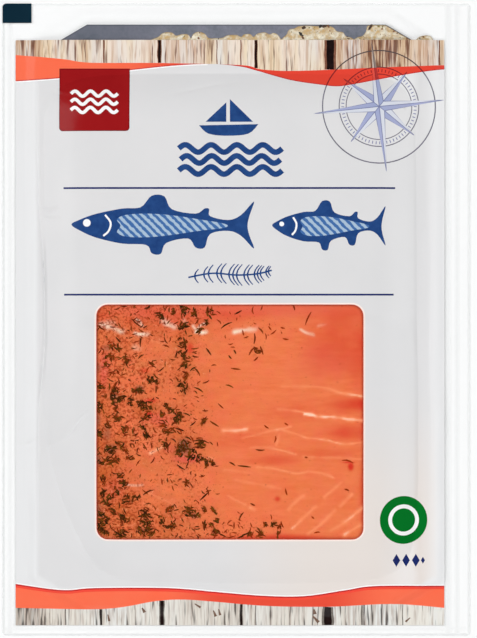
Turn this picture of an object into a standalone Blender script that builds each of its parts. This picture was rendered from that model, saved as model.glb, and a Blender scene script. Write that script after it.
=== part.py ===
"""Flat vacuum pack of sliced, dill-cured salmon, lying on its back with the printed face up.

Two films are welded round the rim. Between them lie a stiff board with chamfered corners and, on
it, two layers' worth of salmon slices, which lift the front film into a low cushion. The front
film is left open at its clear window, where the slices and the dill on them show.

Metres, +Z up. The origin is on the surface the pack lies on, under the middle of the pouch.
+Y points to the end of the pack that is up when its print is read.
"""
import math
import random

import bmesh
import bpy
from mathutils import Vector
from mathutils.geometry import delaunay_2d_cdt

# Pouch: two films of one size, welded all round
POUCH_WIDTH = 0.1584
POUCH_LENGTH = 0.2139
POUCH_CORNER = 0.0015
FILM = 0.00035
RIM = 2 * FILM
GAP = 0.0003

# Board
BOARD_WIDTH = 0.133
BOARD_TOP = 0.0997
BOARD_BOTTOM = -0.0955
BOARD_CHAMFER_X = 0.016
BOARD_CHAMFER_Y = 0.0094
BOARD_THICKNESS = 0.0006
BOARD_FLOOR = FILM + GAP
BOARD_FACE = BOARD_FLOOR + BOARD_THICKNESS

# How the front film comes down from the board to the weld
CAVITY_MARGIN = 0.0004
SHOULDER_MARGIN = 0.0009
WELD_MARGIN = 0.0028
PLATEAU = BOARD_FACE + GAP + FILM

# Salmon: a rounded, slightly uneven rectangle, and where its two slices meet
SALMON_WIDTH = 0.115
SALMON_TOP = 0.0795
SALMON_BOTTOM = -0.0845
SALMON_SQUARENESS = 6.5
SALMON_UNEVEN = 0.0009
SALMON_RISE = 0.0042
SALMON_FLOOR = BOARD_FACE + GAP
TENT = 0.003
SHOULDER = 0.010
MEETING_Y = -0.0031
MEETING_WAVE = 0.0006
MEETING_STEP = 0.0006
MEETING_RUN = 0.005
FLAKE_RELIEF = 0.00018
FLAKE_PITCH = 0.0105

# Marinade that has run out over the board's upper right corner, under the film
MARINADE_CENTRE = (0.0470, 0.0960)
MARINADE_REACH = (0.0160, 0.0042)
MARINADE_RISE = 0.0007

# Clear window in the front film
WINDOW_LEFT = -0.0472
WINDOW_RIGHT = 0.0428
WINDOW_TOP = 0.0051
WINDOW_BOTTOM = -0.0741
WINDOW_CORNER = 0.0039

# Dill: thin pointed bits, thick on the left of the window and sparse on the right
DILL_SEED = 7
DILL_BITS = 96
DILL_LENGTH = (0.0028, 0.0070)
DILL_RADIUS = (0.00028, 0.00045)
DILL_CROWDING = 1.75
DILL_MARGIN = 0.0016
DILL_CLUMPS = ((-0.0310, -0.0290), (-0.0205, -0.0345), (-0.0405, -0.0440), (-0.0178, -0.0450),
               (-0.0180, -0.0120), (-0.0440, -0.0680), (-0.0150, -0.0650))
DILL_CLUMP_RADIUS = 0.0050
DILL_CLUMP_BITS = 6

# Spacing of the net of points that carries the draped surfaces
COARSE = 0.0052
FINE = 0.0033
OUTLINE_STEP = 0.0050


def clear_scene():
    for obj in list(bpy.data.objects):
        bpy.data.objects.remove(obj, do_unlink=True)


def surface(name, color, roughness, metallic=0.0):
    """A plain Principled material."""
    material = bpy.data.materials.new(name)
    material.use_nodes = True
    shader = material.node_tree.nodes["Principled BSDF"]
    shader.inputs["Base Color"].default_value = (*color, 1.0)
    shader.inputs["Roughness"].default_value = roughness
    shader.inputs["Metallic"].default_value = metallic
    material.diffuse_color = (*color, 1.0)
    return material


def ease(value, start, end):
    """0 before start, 1 after end, and a smooth change between them."""
    share = min(1.0, max(0.0, (value - start) / (end - start)))
    return share * share * (3 - 2 * share)


# ---- outlines, each a list of (x, y) that runs counter-clockwise

def filleted(corners, radius, steps=4):
    """The outline of a convex polygon with its corners rounded off."""
    points = []
    count = len(corners)
    for i, corner in enumerate(corners):
        here = Vector(corner)
        before = (Vector(corners[i - 1]) - here).normalized()
        after = (Vector(corners[(i + 1) % count]) - here).normalized()
        half_angle = before.angle(after) / 2
        centre = here + (before + after).normalized() * (radius / math.sin(half_angle))
        first = here + before * (radius / math.tan(half_angle)) - centre
        last = here + after * (radius / math.tan(half_angle)) - centre
        turn = math.pi - 2 * half_angle
        start = math.atan2(first.y, first.x)
        for k in range(steps + 1):
            angle = start + turn * k / steps
            points.append((centre.x + first.length * math.cos(angle),
                           centre.y + last.length * math.sin(angle)))
    return points


def subdivided(outline, step):
    """The same outline with points added so that none of its edges is longer than step."""
    points = []
    for a, b in zip(outline, outline[1:] + outline[:1]):
        parts = max(1, math.ceil(math.dist(a, b) / step))
        points += [(a[0] + (b[0] - a[0]) * k / parts, a[1] + (b[1] - a[1]) * k / parts)
                   for k in range(parts)]
    return points


def rectangle(left, bottom, right, top):
    return [(left, bottom), (right, bottom), (right, top), (left, top)]


def board_outline(grow=0.0):
    """The chamfered board, or a line at an even distance outside it."""
    half = BOARD_WIDTH / 2 + grow
    top, bottom = BOARD_TOP + grow, BOARD_BOTTOM - grow
    slant = math.hypot(BOARD_CHAMFER_X, BOARD_CHAMFER_Y)
    # where a line parallel to the chamfer, moved out by grow, meets the moved sides
    cut_x = BOARD_CHAMFER_X + grow * (1 + (BOARD_CHAMFER_X - slant) / BOARD_CHAMFER_Y)
    cut_y = BOARD_CHAMFER_Y + grow * (1 + (BOARD_CHAMFER_Y - slant) / BOARD_CHAMFER_X)
    return [(-half, bottom + cut_y), (-half + cut_x, bottom), (half - cut_x, bottom),
            (half, bottom + cut_y), (half, top - cut_y), (half - cut_x, top),
            (-half + cut_x, top), (-half, top - cut_y)]


def salmon_outline(grow=0.0):
    """A superellipse with a slow wobble, as slices laid edge to edge have."""
    half_x = SALMON_WIDTH / 2 + grow
    half_y = (SALMON_TOP - SALMON_BOTTOM) / 2 + grow
    middle_y = (SALMON_TOP + SALMON_BOTTOM) / 2
    power = 2 / SALMON_SQUARENESS
    points = []
    count = round(2 * math.pi * half_y / OUTLINE_STEP)
    for k in range(count):
        angle = 2 * math.pi * k / count
        c, s = math.cos(angle), math.sin(angle)
        wobble = SALMON_UNEVEN * (math.sin(5 * angle + 1.0) + 0.6 * math.sin(9 * angle + 2.4))
        x = math.copysign(abs(c) ** power, c) * (half_x + wobble)
        y = math.copysign(abs(s) ** power, s) * (half_y + wobble)
        points.append((x, middle_y + y))
    return subdivided(points, OUTLINE_STEP)


def meeting_y(x):
    """The upper edge of the lower slice."""
    return MEETING_Y + MEETING_WAVE * (math.sin(x * 150) + 0.7 * math.sin(x * 340 + 1.0))


def depth_in(outline, x, y):
    """Distance to an outline's nearest edge, positive inside it."""
    inside, nearest = False, 1.0
    x0, y0 = outline[-1]
    for x1, y1 in outline:
        dx, dy = x1 - x0, y1 - y0
        along = ((x - x0) * dx + (y - y0) * dy) / (dx * dx + dy * dy)
        along = min(1.0, max(0.0, along))
        nearest = min(nearest, math.hypot(x - x0 - along * dx, y - y0 - along * dy))
        if (y0 > y) != (y1 > y) and x < x0 + dx * (y - y0) / dy:
            inside = not inside
        x0, y0 = x1, y1
    return nearest if inside else -nearest


POUCH = filleted(rectangle(-POUCH_WIDTH / 2, -POUCH_LENGTH / 2, POUCH_WIDTH / 2, POUCH_LENGTH / 2),
                 POUCH_CORNER)
BOARD = board_outline()
SALMON = salmon_outline()
WINDOW = filleted(rectangle(WINDOW_LEFT, WINDOW_BOTTOM, WINDOW_RIGHT, WINDOW_TOP), WINDOW_CORNER, 5)


# ---- heights

def marinade(x, y):
    """How far the pool of marinade lifts the film."""
    across = (x - MARINADE_CENTRE[0]) / MARINADE_REACH[0]
    along = (y - MARINADE_CENTRE[1]) / MARINADE_REACH[1]
    return MARINADE_RISE * math.exp(-across ** 2 - along ** 2)


def salmon_rise(x, y):
    """How far the salmon lifts the film above the board: a cushion with a step at the meeting."""
    depth = depth_in(SALMON, x, y)
    share = min(1.0, max(0.0, (depth + TENT) / (TENT + SHOULDER)))
    cushion = math.sin(share * math.pi / 2) ** 1.3
    step = ease(meeting_y(x) - y, -MEETING_RUN, 0.0)
    fading = 1 - ease(meeting_y(x) - y, 0.004, 0.050)
    uneven = 0.00018 * math.sin(x * 95 + 0.6) * math.sin(y * 70 + 1.1)
    return cushion * (SALMON_RISE + MEETING_STEP * step * fading + uneven)


def film_top(x, y):
    """Upper face of the front film."""
    climb = ease(depth_in(BOARD, x, y), -WELD_MARGIN, -SHOULDER_MARGIN)
    return RIM + climb * (PLATEAU - RIM + marinade(x, y)) + salmon_rise(x, y)


def film_underside(x, y):
    return film_top(x, y) - FILM


def salmon_face(x, y):
    """Upper face of the slices: flakes a few millimetres wide lie in long slanting waves."""
    show = ease(depth_in(WINDOW, x, y), 0.0, 0.004)
    slant = y + 0.22 * (x - 0.02) - 2.2 * (x - 0.02) ** 2
    flakes = math.sin(2 * math.pi * slant / FLAKE_PITCH)
    return film_underside(x, y) - GAP + show * FLAKE_RELIEF * (flakes - 1)


# ---- the net of triangles that every draped surface shares

def along_meeting(offset):
    """A line across the pack, offset from where the slices meet."""
    reach = SALMON_WIDTH / 2 + 0.002
    count = math.ceil(2 * reach / FINE)
    xs = [-reach + 2 * reach * k / count for k in range(count + 1)]
    return [(x, meeting_y(x) + offset) for x in xs]


def staggered(left, bottom, right, top, step):
    """Points in rows, each row half a step along from the last."""
    rows = math.floor((top - bottom) / (step * 0.87))
    for j in range(rows + 1):
        y = bottom + (top - bottom) * j / rows
        x = left + (step / 2 if j % 2 else 0.0)
        while x <= right:
            yield x, y
            x += step


def make_net():
    """Points and triangles over the whole pouch, with every outline among their edges."""
    rings = [POUCH, WINDOW, SALMON, salmon_outline(TENT)]
    rings += [board_outline(m) for m in (WELD_MARGIN, SHOULDER_MARGIN, CAVITY_MARGIN)]
    points, edges = [], []
    for ring in rings:
        step = FINE if ring is WINDOW else OUTLINE_STEP
        ring = subdivided(ring, step)
        first = len(points)
        points += ring
        edges += [(first + k, first + (k + 1) % len(ring)) for k in range(len(ring))]
    for offset in (0.0, GAP):
        line = along_meeting(offset)
        first = len(points)
        points += line
        edges += [(first + k, first + k + 1) for k in range(len(line) - 1)]

    def free(x, y, step):
        clear = 0.45 * step
        near_meeting = abs(y - meeting_y(x)) < clear + GAP
        return not near_meeting and all(abs(depth_in(r, x, y)) > clear for r in rings)

    half_x, half_y = POUCH_WIDTH / 2, POUCH_LENGTH / 2
    for x, y in staggered(-half_x, -half_y, half_x, half_y, COARSE):
        inside_board = depth_in(BOARD, x, y) > 0
        if inside_board and depth_in(WINDOW, x, y) < 0 and free(x, y, COARSE):
            points.append((x, y))
    for x, y in staggered(WINDOW_LEFT, WINDOW_BOTTOM, WINDOW_RIGHT, WINDOW_TOP, FINE):
        if depth_in(WINDOW, x, y) > 0 and free(x, y, FINE):
            points.append((x, y))
    found = delaunay_2d_cdt([Vector(p) for p in points], edges, [], 0, 1e-7)
    spots = [(v.x, v.y) for v in found[0]]
    return spots, [tuple(f) for f in found[2]]


def within(net, test):
    """The net's triangles whose middle passes a test, each counter-clockwise."""
    spots, triangles = net
    kept = []
    for a, b, c in triangles:
        (ax, ay), (bx, by), (cx, cy) = spots[a], spots[b], spots[c]
        if test((ax + bx + cx) / 3, (ay + by + cy) / 3):
            left_turn = (bx - ax) * (cy - ay) - (by - ay) * (cx - ax) > 0
            kept.append((a, b, c) if left_turn else (a, c, b))
    return kept


def rims(triangles):
    """The closed loops of points round a set of triangles, with the triangles on their left."""
    edges = {(t[k], t[(k + 1) % 3]) for t in triangles for k in range(3)}
    following = {a: b for a, b in edges if (b, a) not in edges}
    loops = []
    while following:
        start, spot = following.popitem()
        loop = [start]
        while spot != start:
            loop.append(spot)
            spot = following.pop(spot)
        loops.append(loop)
    return sorted(loops, key=len, reverse=True)


class Skin:
    """A mesh built from layers, each of which places the net's points at heights of its own."""

    def __init__(self, net):
        self.spots = net[0]
        self.mesh = bmesh.new()
        self.made = {}

    def point(self, spot, layer):
        key = spot, layer
        if key not in self.made:
            x, y = self.spots[spot]
            z = layer(x, y) if callable(layer) else layer
            self.made[key] = self.mesh.verts.new((x, y, z))
        return self.made[key]

    def sheet(self, triangles, layer, up=True):
        for triangle in triangles:
            corners = [self.point(spot, layer) for spot in triangle]
            self.mesh.faces.new(corners if up else corners[::-1])

    def cap(self, loop, height, up):
        corners = [self.point(spot, height) for spot in loop]
        self.mesh.faces.new(corners if up else corners[::-1])

    def wall(self, loop, upper, lower):
        """Faces from one layer to the one below it, facing away from the triangles on the left."""
        for a, b in zip(loop, loop[1:] + loop[:1]):
            ring = [(a, lower), (b, lower), (b, upper), (a, upper)]
            corners = [self.point(spot, layer) for spot, layer in ring]
            self.mesh.faces.new(corners)

    def finish(self, name, material):
        return into_object(self.mesh, name, material)


def into_object(mesh, name, material):
    data = bpy.data.meshes.new(name)
    mesh.to_mesh(data)
    mesh.free()
    data.materials.append(material)
    obj = bpy.data.objects.new(name, data)
    bpy.context.scene.collection.objects.link(obj)
    return obj


# ---- the pieces

def make_pouch(net, material):
    """Both films in one closed skin: outer face, cavity and the rim of the open window."""
    def in_window(x, y):
        return depth_in(WINDOW, x, y) > 0

    cavity = board_outline(CAVITY_MARGIN)
    outer = within(net, lambda x, y: depth_in(POUCH, x, y) > 0 and not in_window(x, y))
    inner = within(net, lambda x, y: depth_in(cavity, x, y) > 0 and not in_window(x, y))
    skin = Skin(net)
    skin.sheet(outer, film_top)
    skin.sheet(inner, film_underside, up=False)
    edge, window_rim = rims(outer)
    skin.wall(edge, film_top, 0.0)
    skin.cap(edge, 0.0, up=False)
    skin.wall(window_rim, film_top, film_underside)
    cavity_edge = rims(inner)[0]
    skin.wall(cavity_edge[::-1], film_underside, FILM)
    skin.cap(cavity_edge, FILM, up=True)
    return skin.finish("pouch", material)


def make_board(material):
    """A flat sheet with its four corners cut off."""
    mesh = bmesh.new()
    lower = [mesh.verts.new((x, y, BOARD_FLOOR)) for x, y in BOARD]
    face = mesh.faces.new(lower[::-1])
    grown = bmesh.ops.extrude_face_region(mesh, geom=[face])
    raised = [item for item in grown["geom"] if isinstance(item, bmesh.types.BMVert)]
    bmesh.ops.translate(mesh, verts=raised, vec=(0, 0, BOARD_THICKNESS))
    bmesh.ops.recalc_face_normals(mesh, faces=mesh.faces)
    return into_object(mesh, "board", material)


def make_slice(net, name, test, material):
    """One slice: the net's faces on top, a flat underside and a blunt edge."""
    faces = within(net, lambda x, y: depth_in(SALMON, x, y) > 0 and test(x, y))
    skin = Skin(net)
    skin.sheet(faces, salmon_face)
    edge = rims(faces)[0]
    skin.wall(edge, salmon_face, SALMON_FLOOR)
    skin.cap(edge, SALMON_FLOOR, up=False)
    return skin.finish(name, material)


def dill_bit(mesh, middle, angle, length, radius, bend):
    """A thin four-sided spindle that follows the salmon's face, half sunk in it."""
    def place(share):
        along, aside = (share - 0.5) * length, bend * length * (1 - (2 * share - 1) ** 2)
        return (middle[0] + along * math.cos(angle) - aside * math.sin(angle),
                middle[1] + along * math.sin(angle) + aside * math.cos(angle))

    def station(share):
        x, y = place(share)
        z = salmon_face(x, y) + 0.25 * radius
        across = (-math.sin(angle), math.cos(angle))
        return [mesh.verts.new((x + across[0] * u * radius, y + across[1] * u * radius, z + w * radius))
                for u, w in ((1.2, 0), (0, 1), (-1.2, 0), (0, -1))]

    def tip(share):
        x, y = place(share)
        return mesh.verts.new((x, y, salmon_face(x, y)))

    first, last = station(0.3), station(0.72)
    start, end = tip(0.0), tip(1.0)
    for k in range(4):
        n = (k + 1) % 4
        mesh.faces.new((start, first[k], first[n]))
        mesh.faces.new((first[k], last[k], last[n], first[n]))
        mesh.faces.new((end, last[n], last[k]))


def dill_places():
    """Middles and sizes of the bits: crowded to the left, and thick in a few clumps."""
    draw = random.Random(DILL_SEED)
    width, height = WINDOW_RIGHT - WINDOW_LEFT, WINDOW_TOP - WINDOW_BOTTOM
    middles = [(WINDOW_LEFT + width * draw.random() ** DILL_CROWDING,
                WINDOW_BOTTOM + height * draw.random()) for _ in range(DILL_BITS)]
    for x, y in DILL_CLUMPS:
        for _ in range(DILL_CLUMP_BITS):
            reach, angle = DILL_CLUMP_RADIUS * draw.random(), draw.uniform(0, 2 * math.pi)
            middles.append((x + reach * math.cos(angle), y + reach * math.sin(angle)))
    for middle in middles:
        yield (middle, draw.uniform(0, math.pi), draw.uniform(*DILL_LENGTH),
               draw.uniform(*DILL_RADIUS), draw.uniform(-0.12, 0.12))


def lay_dill(slices, material):
    """Fuse each bit of dill to the slice it lies on, and skip those that would leave it."""
    kept = {name: [] for name in slices}
    for middle, angle, length, radius, bend in dill_places():
        away = (0.55 * length * math.cos(angle), 0.55 * length * math.sin(angle))
        ends = [(middle[0] - away[0], middle[1] - away[1]), (middle[0] + away[0], middle[1] + away[1])]
        if min(depth_in(WINDOW, *spot) for spot in ends) < DILL_MARGIN:
            continue
        if min(abs(y - meeting_y(x)) for x, y in [middle, *ends]) < DILL_MARGIN:
            continue
        sides = {y < meeting_y(x) for x, y in ends}
        if len(sides) == 1:
            name = "slice_lower" if sides.pop() else "slice_upper"
            kept[name].append((middle, angle, length, radius, bend))
    for name, bits in kept.items():
        group = bpy.data.collections.new(f"dill_on_{name}")
        bpy.context.scene.collection.children.link(group)
        for bit in bits:
            mesh = bmesh.new()
            dill_bit(mesh, *bit)
            bmesh.ops.recalc_face_normals(mesh, faces=mesh.faces)
            piece = into_object(mesh, "dill", material)
            bpy.context.scene.collection.objects.unlink(piece)
            group.objects.link(piece)
        fuse(slices[name], group)


def fuse(obj, group):
    """Union an object with everything in a collection, then remove the collection's objects."""
    union = obj.modifiers.new("fused", "BOOLEAN")
    union.operation = "UNION"
    union.solver = "EXACT"
    union.operand_type = "COLLECTION"
    union.collection = group
    union.material_mode = "TRANSFER"
    with bpy.context.temp_override(object=obj, active_object=obj, selected_objects=[obj]):
        bpy.ops.object.modifier_apply(modifier=union.name)
    for piece in list(group.objects):
        bpy.data.objects.remove(piece, do_unlink=True)
    bpy.data.collections.remove(group)
    keep_largest_shell(obj)


def keep_largest_shell(obj):
    """Drop loose scraps, and fill hollows shut in between crossing bits, by dropping their walls."""
    mesh = bmesh.new()
    mesh.from_mesh(obj.data)
    unseen, shells = set(mesh.verts), []
    while unseen:
        shell, front = set(), [unseen.pop()]
        while front:
            vert = front.pop()
            shell.add(vert)
            for edge in vert.link_edges:
                other = edge.other_vert(vert)
                if other in unseen:
                    unseen.remove(other)
                    front.append(other)
        shells.append(shell)
    largest = max(shells, key=len)
    bmesh.ops.delete(mesh, geom=[v for v in mesh.verts if v not in largest], context="VERTS")
    mesh.to_mesh(obj.data)
    mesh.free()


def main():
    clear_scene()
    film = surface("printed_film", (0.74, 0.76, 0.79), 0.28)
    silver_board = surface("silver_board", (0.33, 0.35, 0.38), 0.35, 0.6)
    salmon = surface("salmon", (0.87, 0.20, 0.075), 0.35)
    dill = surface("dill", (0.05, 0.08, 0.02), 0.6)

    net = make_net()
    make_pouch(net, film)
    make_board(silver_board)
    slices = {
        "slice_upper": make_slice(net, "slice_upper", lambda x, y: y > meeting_y(x) + GAP, salmon),
        "slice_lower": make_slice(net, "slice_lower", lambda x, y: y < meeting_y(x), salmon),
    }
    lay_dill(slices, dill)


main()
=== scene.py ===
# %% [markdown]
# A flat vacuum pack of sliced, dill-cured salmon, seen from straight above.
# The CAD model gives the true sizes of the pouch, the board and the two layers of slices.
# This script loads that model as a fixed frame and dresses it: clear films, print, fish and dill.
# Every piece is a thin sheet or a low solid, so most of the work is one height map of the film,
# from which all the sheets take their shape.

# %% Load the frame
import math
import random

import bmesh
import bpy
import numpy as np
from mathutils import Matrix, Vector
from mathutils.geometry import delaunay_2d_cdt


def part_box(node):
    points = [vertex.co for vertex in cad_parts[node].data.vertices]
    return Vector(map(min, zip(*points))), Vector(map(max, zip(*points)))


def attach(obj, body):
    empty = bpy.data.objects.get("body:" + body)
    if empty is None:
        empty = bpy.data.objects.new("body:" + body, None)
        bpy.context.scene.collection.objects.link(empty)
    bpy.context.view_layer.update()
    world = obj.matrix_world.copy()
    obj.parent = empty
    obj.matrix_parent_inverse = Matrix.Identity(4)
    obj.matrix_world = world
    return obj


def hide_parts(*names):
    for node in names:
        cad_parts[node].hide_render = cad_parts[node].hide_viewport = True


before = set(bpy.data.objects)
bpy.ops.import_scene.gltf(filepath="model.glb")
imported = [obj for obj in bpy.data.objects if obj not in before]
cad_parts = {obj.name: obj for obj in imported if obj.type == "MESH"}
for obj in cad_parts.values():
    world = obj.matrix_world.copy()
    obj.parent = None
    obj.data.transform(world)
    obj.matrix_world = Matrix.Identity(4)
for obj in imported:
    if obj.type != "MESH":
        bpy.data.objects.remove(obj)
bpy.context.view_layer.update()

# %% [markdown]
# The driving sizes come from the frame's boxes where a box can give them.
# The rest, such as how the film bends at the board's edge, repeats what the CAD model uses,
# because a film that follows other curves than the solids would float above them or cut them.

# %% Sizes of pouch, board and salmon
MM = 0.001
POUCH_LOW, POUCH_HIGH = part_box("pouch")
BOARD_LOW, BOARD_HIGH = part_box("board")
POUCH_CORNER = 1.5 * MM
BOARD_CHAMFER = (16 * MM, 9.4 * MM)
SALMON_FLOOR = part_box("slice_lower")[0][2]
SALMON_BOTTOM = -84.5 * MM
SALMON_TOP = 79.5 * MM
SALMON_WIDTH = 115 * MM
SALMON_SQUARENESS = 6.5
SALMON_WOBBLE = 0.9 * MM
WINDOW = {"left": -47.2 * MM, "right": 42.8 * MM, "top": 5.1 * MM, "bottom": -74.1 * MM}
WINDOW_CORNER = 3.9 * MM
PANEL = {"left": -74.7 * MM, "right": 70.3 * MM, "top": 94.5 * MM, "bottom": -103.4 * MM}
print("board", [round(v / MM, 1) for v in (*BOARD_LOW, *BOARD_HIGH)], "mm")


# %% [markdown]
# Outlines are lists of points. A few small functions draw the round stretches,
# and one measures how deep any point lies inside an outline. It works on whole arrays,
# because the height map has several hundred thousand points.

# %% Smooth steps, arcs and boxes
def ease(value, start, end):
    """0 before start, 1 after end, and a smooth change between them."""
    share = np.clip((value - start) / (end - start), 0, 1)
    return share * share * (3 - 2 * share)


def arc(centre, radius, start, end, steps):
    """Points along a circle's arc, with its angles in degrees."""
    angles = np.radians(np.linspace(start, end, steps + 1))
    return [(centre[0] + radius * math.cos(a), centre[1] + radius * math.sin(a)) for a in angles]


def circle(centre, radius, steps):
    return arc(centre, radius, 0, 360 * (1 - 1 / steps), steps - 1)


def rounded_box(left, bottom, right, top, radius, steps=8):
    """A rectangle whose four corners are quarter circles."""
    spots = []
    for turn, (x, y) in enumerate([(right, top), (left, top), (left, bottom), (right, bottom)]):
        inward = (radius if x == left else -radius, radius if y == bottom else -radius)
        spots += arc((x + inward[0], y + inward[1]), radius, 90 * turn, 90 * turn + 90, steps)
    return spots


def grown(sides, by=0):
    """Left, bottom, right and top of a rectangle, each moved outwards."""
    return sides["left"] - by, sides["bottom"] - by, sides["right"] + by, sides["top"] + by


# %% Inside an outline, and how deep
def finely(outline, step):
    """The same closed outline with no edge longer than step."""
    spots = []
    for a, b in zip(outline, outline[1:] + outline[:1]):
        parts = max(1, math.ceil(math.dist(a, b) / step))
        spots += [(a[0] + (b[0] - a[0]) * k / parts, a[1] + (b[1] - a[1]) * k / parts)
                  for k in range(parts)]
    return spots


def inside(outline, x, y):
    """Which of the points lie inside a closed outline."""
    found = np.zeros(np.shape(x), bool)
    for (x0, y0), (x1, y1) in zip(outline, outline[1:] + outline[:1]):
        if y0 != y1:
            crossing = (y0 > y) != (y1 > y)
            found ^= crossing & (x < x0 + (x1 - x0) * (y - y0) / (y1 - y0))
    return found


def gap_and_share(line, x, y):
    """Distance to an open line, and how far along it the nearest place is, from 0 to 1."""
    nearest = np.full(np.shape(x), np.inf)
    share = np.zeros(np.shape(x))
    for k, ((x0, y0), (x1, y1)) in enumerate(zip(line, line[1:])):
        dx, dy = x1 - x0, y1 - y0
        along = np.clip(((x - x0) * dx + (y - y0) * dy) / (dx * dx + dy * dy), 0, 1)
        gap = np.hypot(x - x0 - along * dx, y - y0 - along * dy)
        share = np.where(gap < nearest, (k + along) / (len(line) - 1), share)
        nearest = np.minimum(nearest, gap)
    return nearest, share


def depth_in(outline, x, y):
    """Distance to a closed outline, positive inside it."""
    nearest, _ = gap_and_share(outline + outline[:1], x, y)
    return np.where(inside(outline, x, y), nearest, -nearest)


# %% Millimetres and smooth curves
def in_mm(spots):
    return [(x * MM, y * MM) for x, y in spots]


def through(spots, steps=6, closed=False):
    """A smooth curve through the given points."""
    count = len(spots)
    curve = []
    for k in range(count if closed else count - 1):
        near = [n % count if closed else min(max(n, 0), count - 1) for n in range(k - 1, k + 3)]
        p = [np.array(spots[n]) for n in near]
        for t in np.arange(steps) / steps:
            spot = 0.5 * (2 * p[1] + (p[2] - p[0]) * t + (2 * p[0] - 5 * p[1] + 4 * p[2] - p[3]) * t ** 2
                          + (3 * p[1] - p[0] - 3 * p[2] + p[3]) * t ** 3)
            curve.append((float(spot[0]), float(spot[1])))
    return curve if closed else curve + [tuple(spots[-1])]


# %% Outlines of the board, the salmon and the window
def board_outline():
    left, bottom, _ = BOARD_LOW
    right, top, _ = BOARD_HIGH
    cut_x, cut_y = BOARD_CHAMFER
    return [(left, bottom + cut_y), (left + cut_x, bottom), (right - cut_x, bottom),
            (right, bottom + cut_y), (right, top - cut_y), (right - cut_x, top),
            (left + cut_x, top), (left, top - cut_y)]


def salmon_outline(steps=110):
    """A superellipse with a slow wobble, as slices laid edge to edge have."""
    middle = (SALMON_TOP + SALMON_BOTTOM) / 2
    half = (SALMON_WIDTH / 2, (SALMON_TOP - SALMON_BOTTOM) / 2)
    power = 2 / SALMON_SQUARENESS
    spots = []
    for angle in np.linspace(0, 2 * math.pi, steps, endpoint=False):
        c, s = math.cos(angle), math.sin(angle)
        wobble = SALMON_WOBBLE * (math.sin(5 * angle + 1) + 0.6 * math.sin(9 * angle + 2.4))
        spots.append((math.copysign(abs(c) ** power, c) * (half[0] + wobble),
                      middle + math.copysign(abs(s) ** power, s) * (half[1] + wobble)))
    return spots


def meeting_y(x):
    """The upper edge of the lower slices."""
    return (-3.1 + 0.6 * np.sin(x * 150) + 0.42 * np.sin(x * 340 + 1)) * MM


BOARD = board_outline()
SALMON = salmon_outline()
POUCH = rounded_box(*POUCH_LOW[:2], *POUCH_HIGH[:2], POUCH_CORNER, 4)
OPENING = rounded_box(*grown(WINDOW), WINDOW_CORNER)
print("points in the outlines:", len(BOARD), len(SALMON), len(POUCH), len(OPENING))

# %% [markdown]
# The film's height map. Vacuum pulls the front film tight over the slices and the board and
# down to the weld round them. A cloth simulation could find that shape, but the solids already
# have it as a formula, so the map repeats the formula and adds what only looks need:
# a board edge that wanders a little, soft waves in the flat weld, and creases.

# %% Soft hills, made without any image
HILL_TABLE = 64
# the size of each kind's hills, and the seed of their draw
HILLS = {"slack": (17 * MM, 3), "weld": (21 * MM, 5), "weld_ripple": (7 * MM, 8),
         "over_board": (9 * MM, 11), "plank_gap": (3 * MM, 21), "line_rim": (1.5 * MM, 31),
         "line_strength": (2.3 * MM, 33), "flesh_grain": (1.1 * MM, 35), "flesh_swell": (3.7 * MM, 36),
         "tan": (2.2 * MM, 41), "red": (4 * MM, 41), "clump": (0.7 * MM, 43), "brown": (3 * MM, 43),
         "marinade": (1.4 * MM, 51)}


def blended(corners, fu, fv):
    """The value at a place between four corners."""
    low = corners[0] * (1 - fv) + corners[1] * fv
    high = corners[2] * (1 - fv) + corners[3] * fv
    return low * (1 - fu) + high * fu


def hills(kind, x, y):
    """Smooth random hills, between -1 and 1."""
    size, seed = HILLS[kind]
    table = np.random.default_rng(seed).uniform(-1, 1, (HILL_TABLE, HILL_TABLE))
    u, v = x / size + HILL_TABLE / 2, y / size + HILL_TABLE / 2
    i, j = np.floor(u).astype(int), np.floor(v).astype(int)
    corners = [table[(i + a) % HILL_TABLE, (j + b) % HILL_TABLE] for a in (0, 1) for b in (0, 1)]
    return blended(corners, ease(u - i, 0, 1), ease(v - j, 0, 1))


print(len(HILLS), "kinds of hills")


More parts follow.
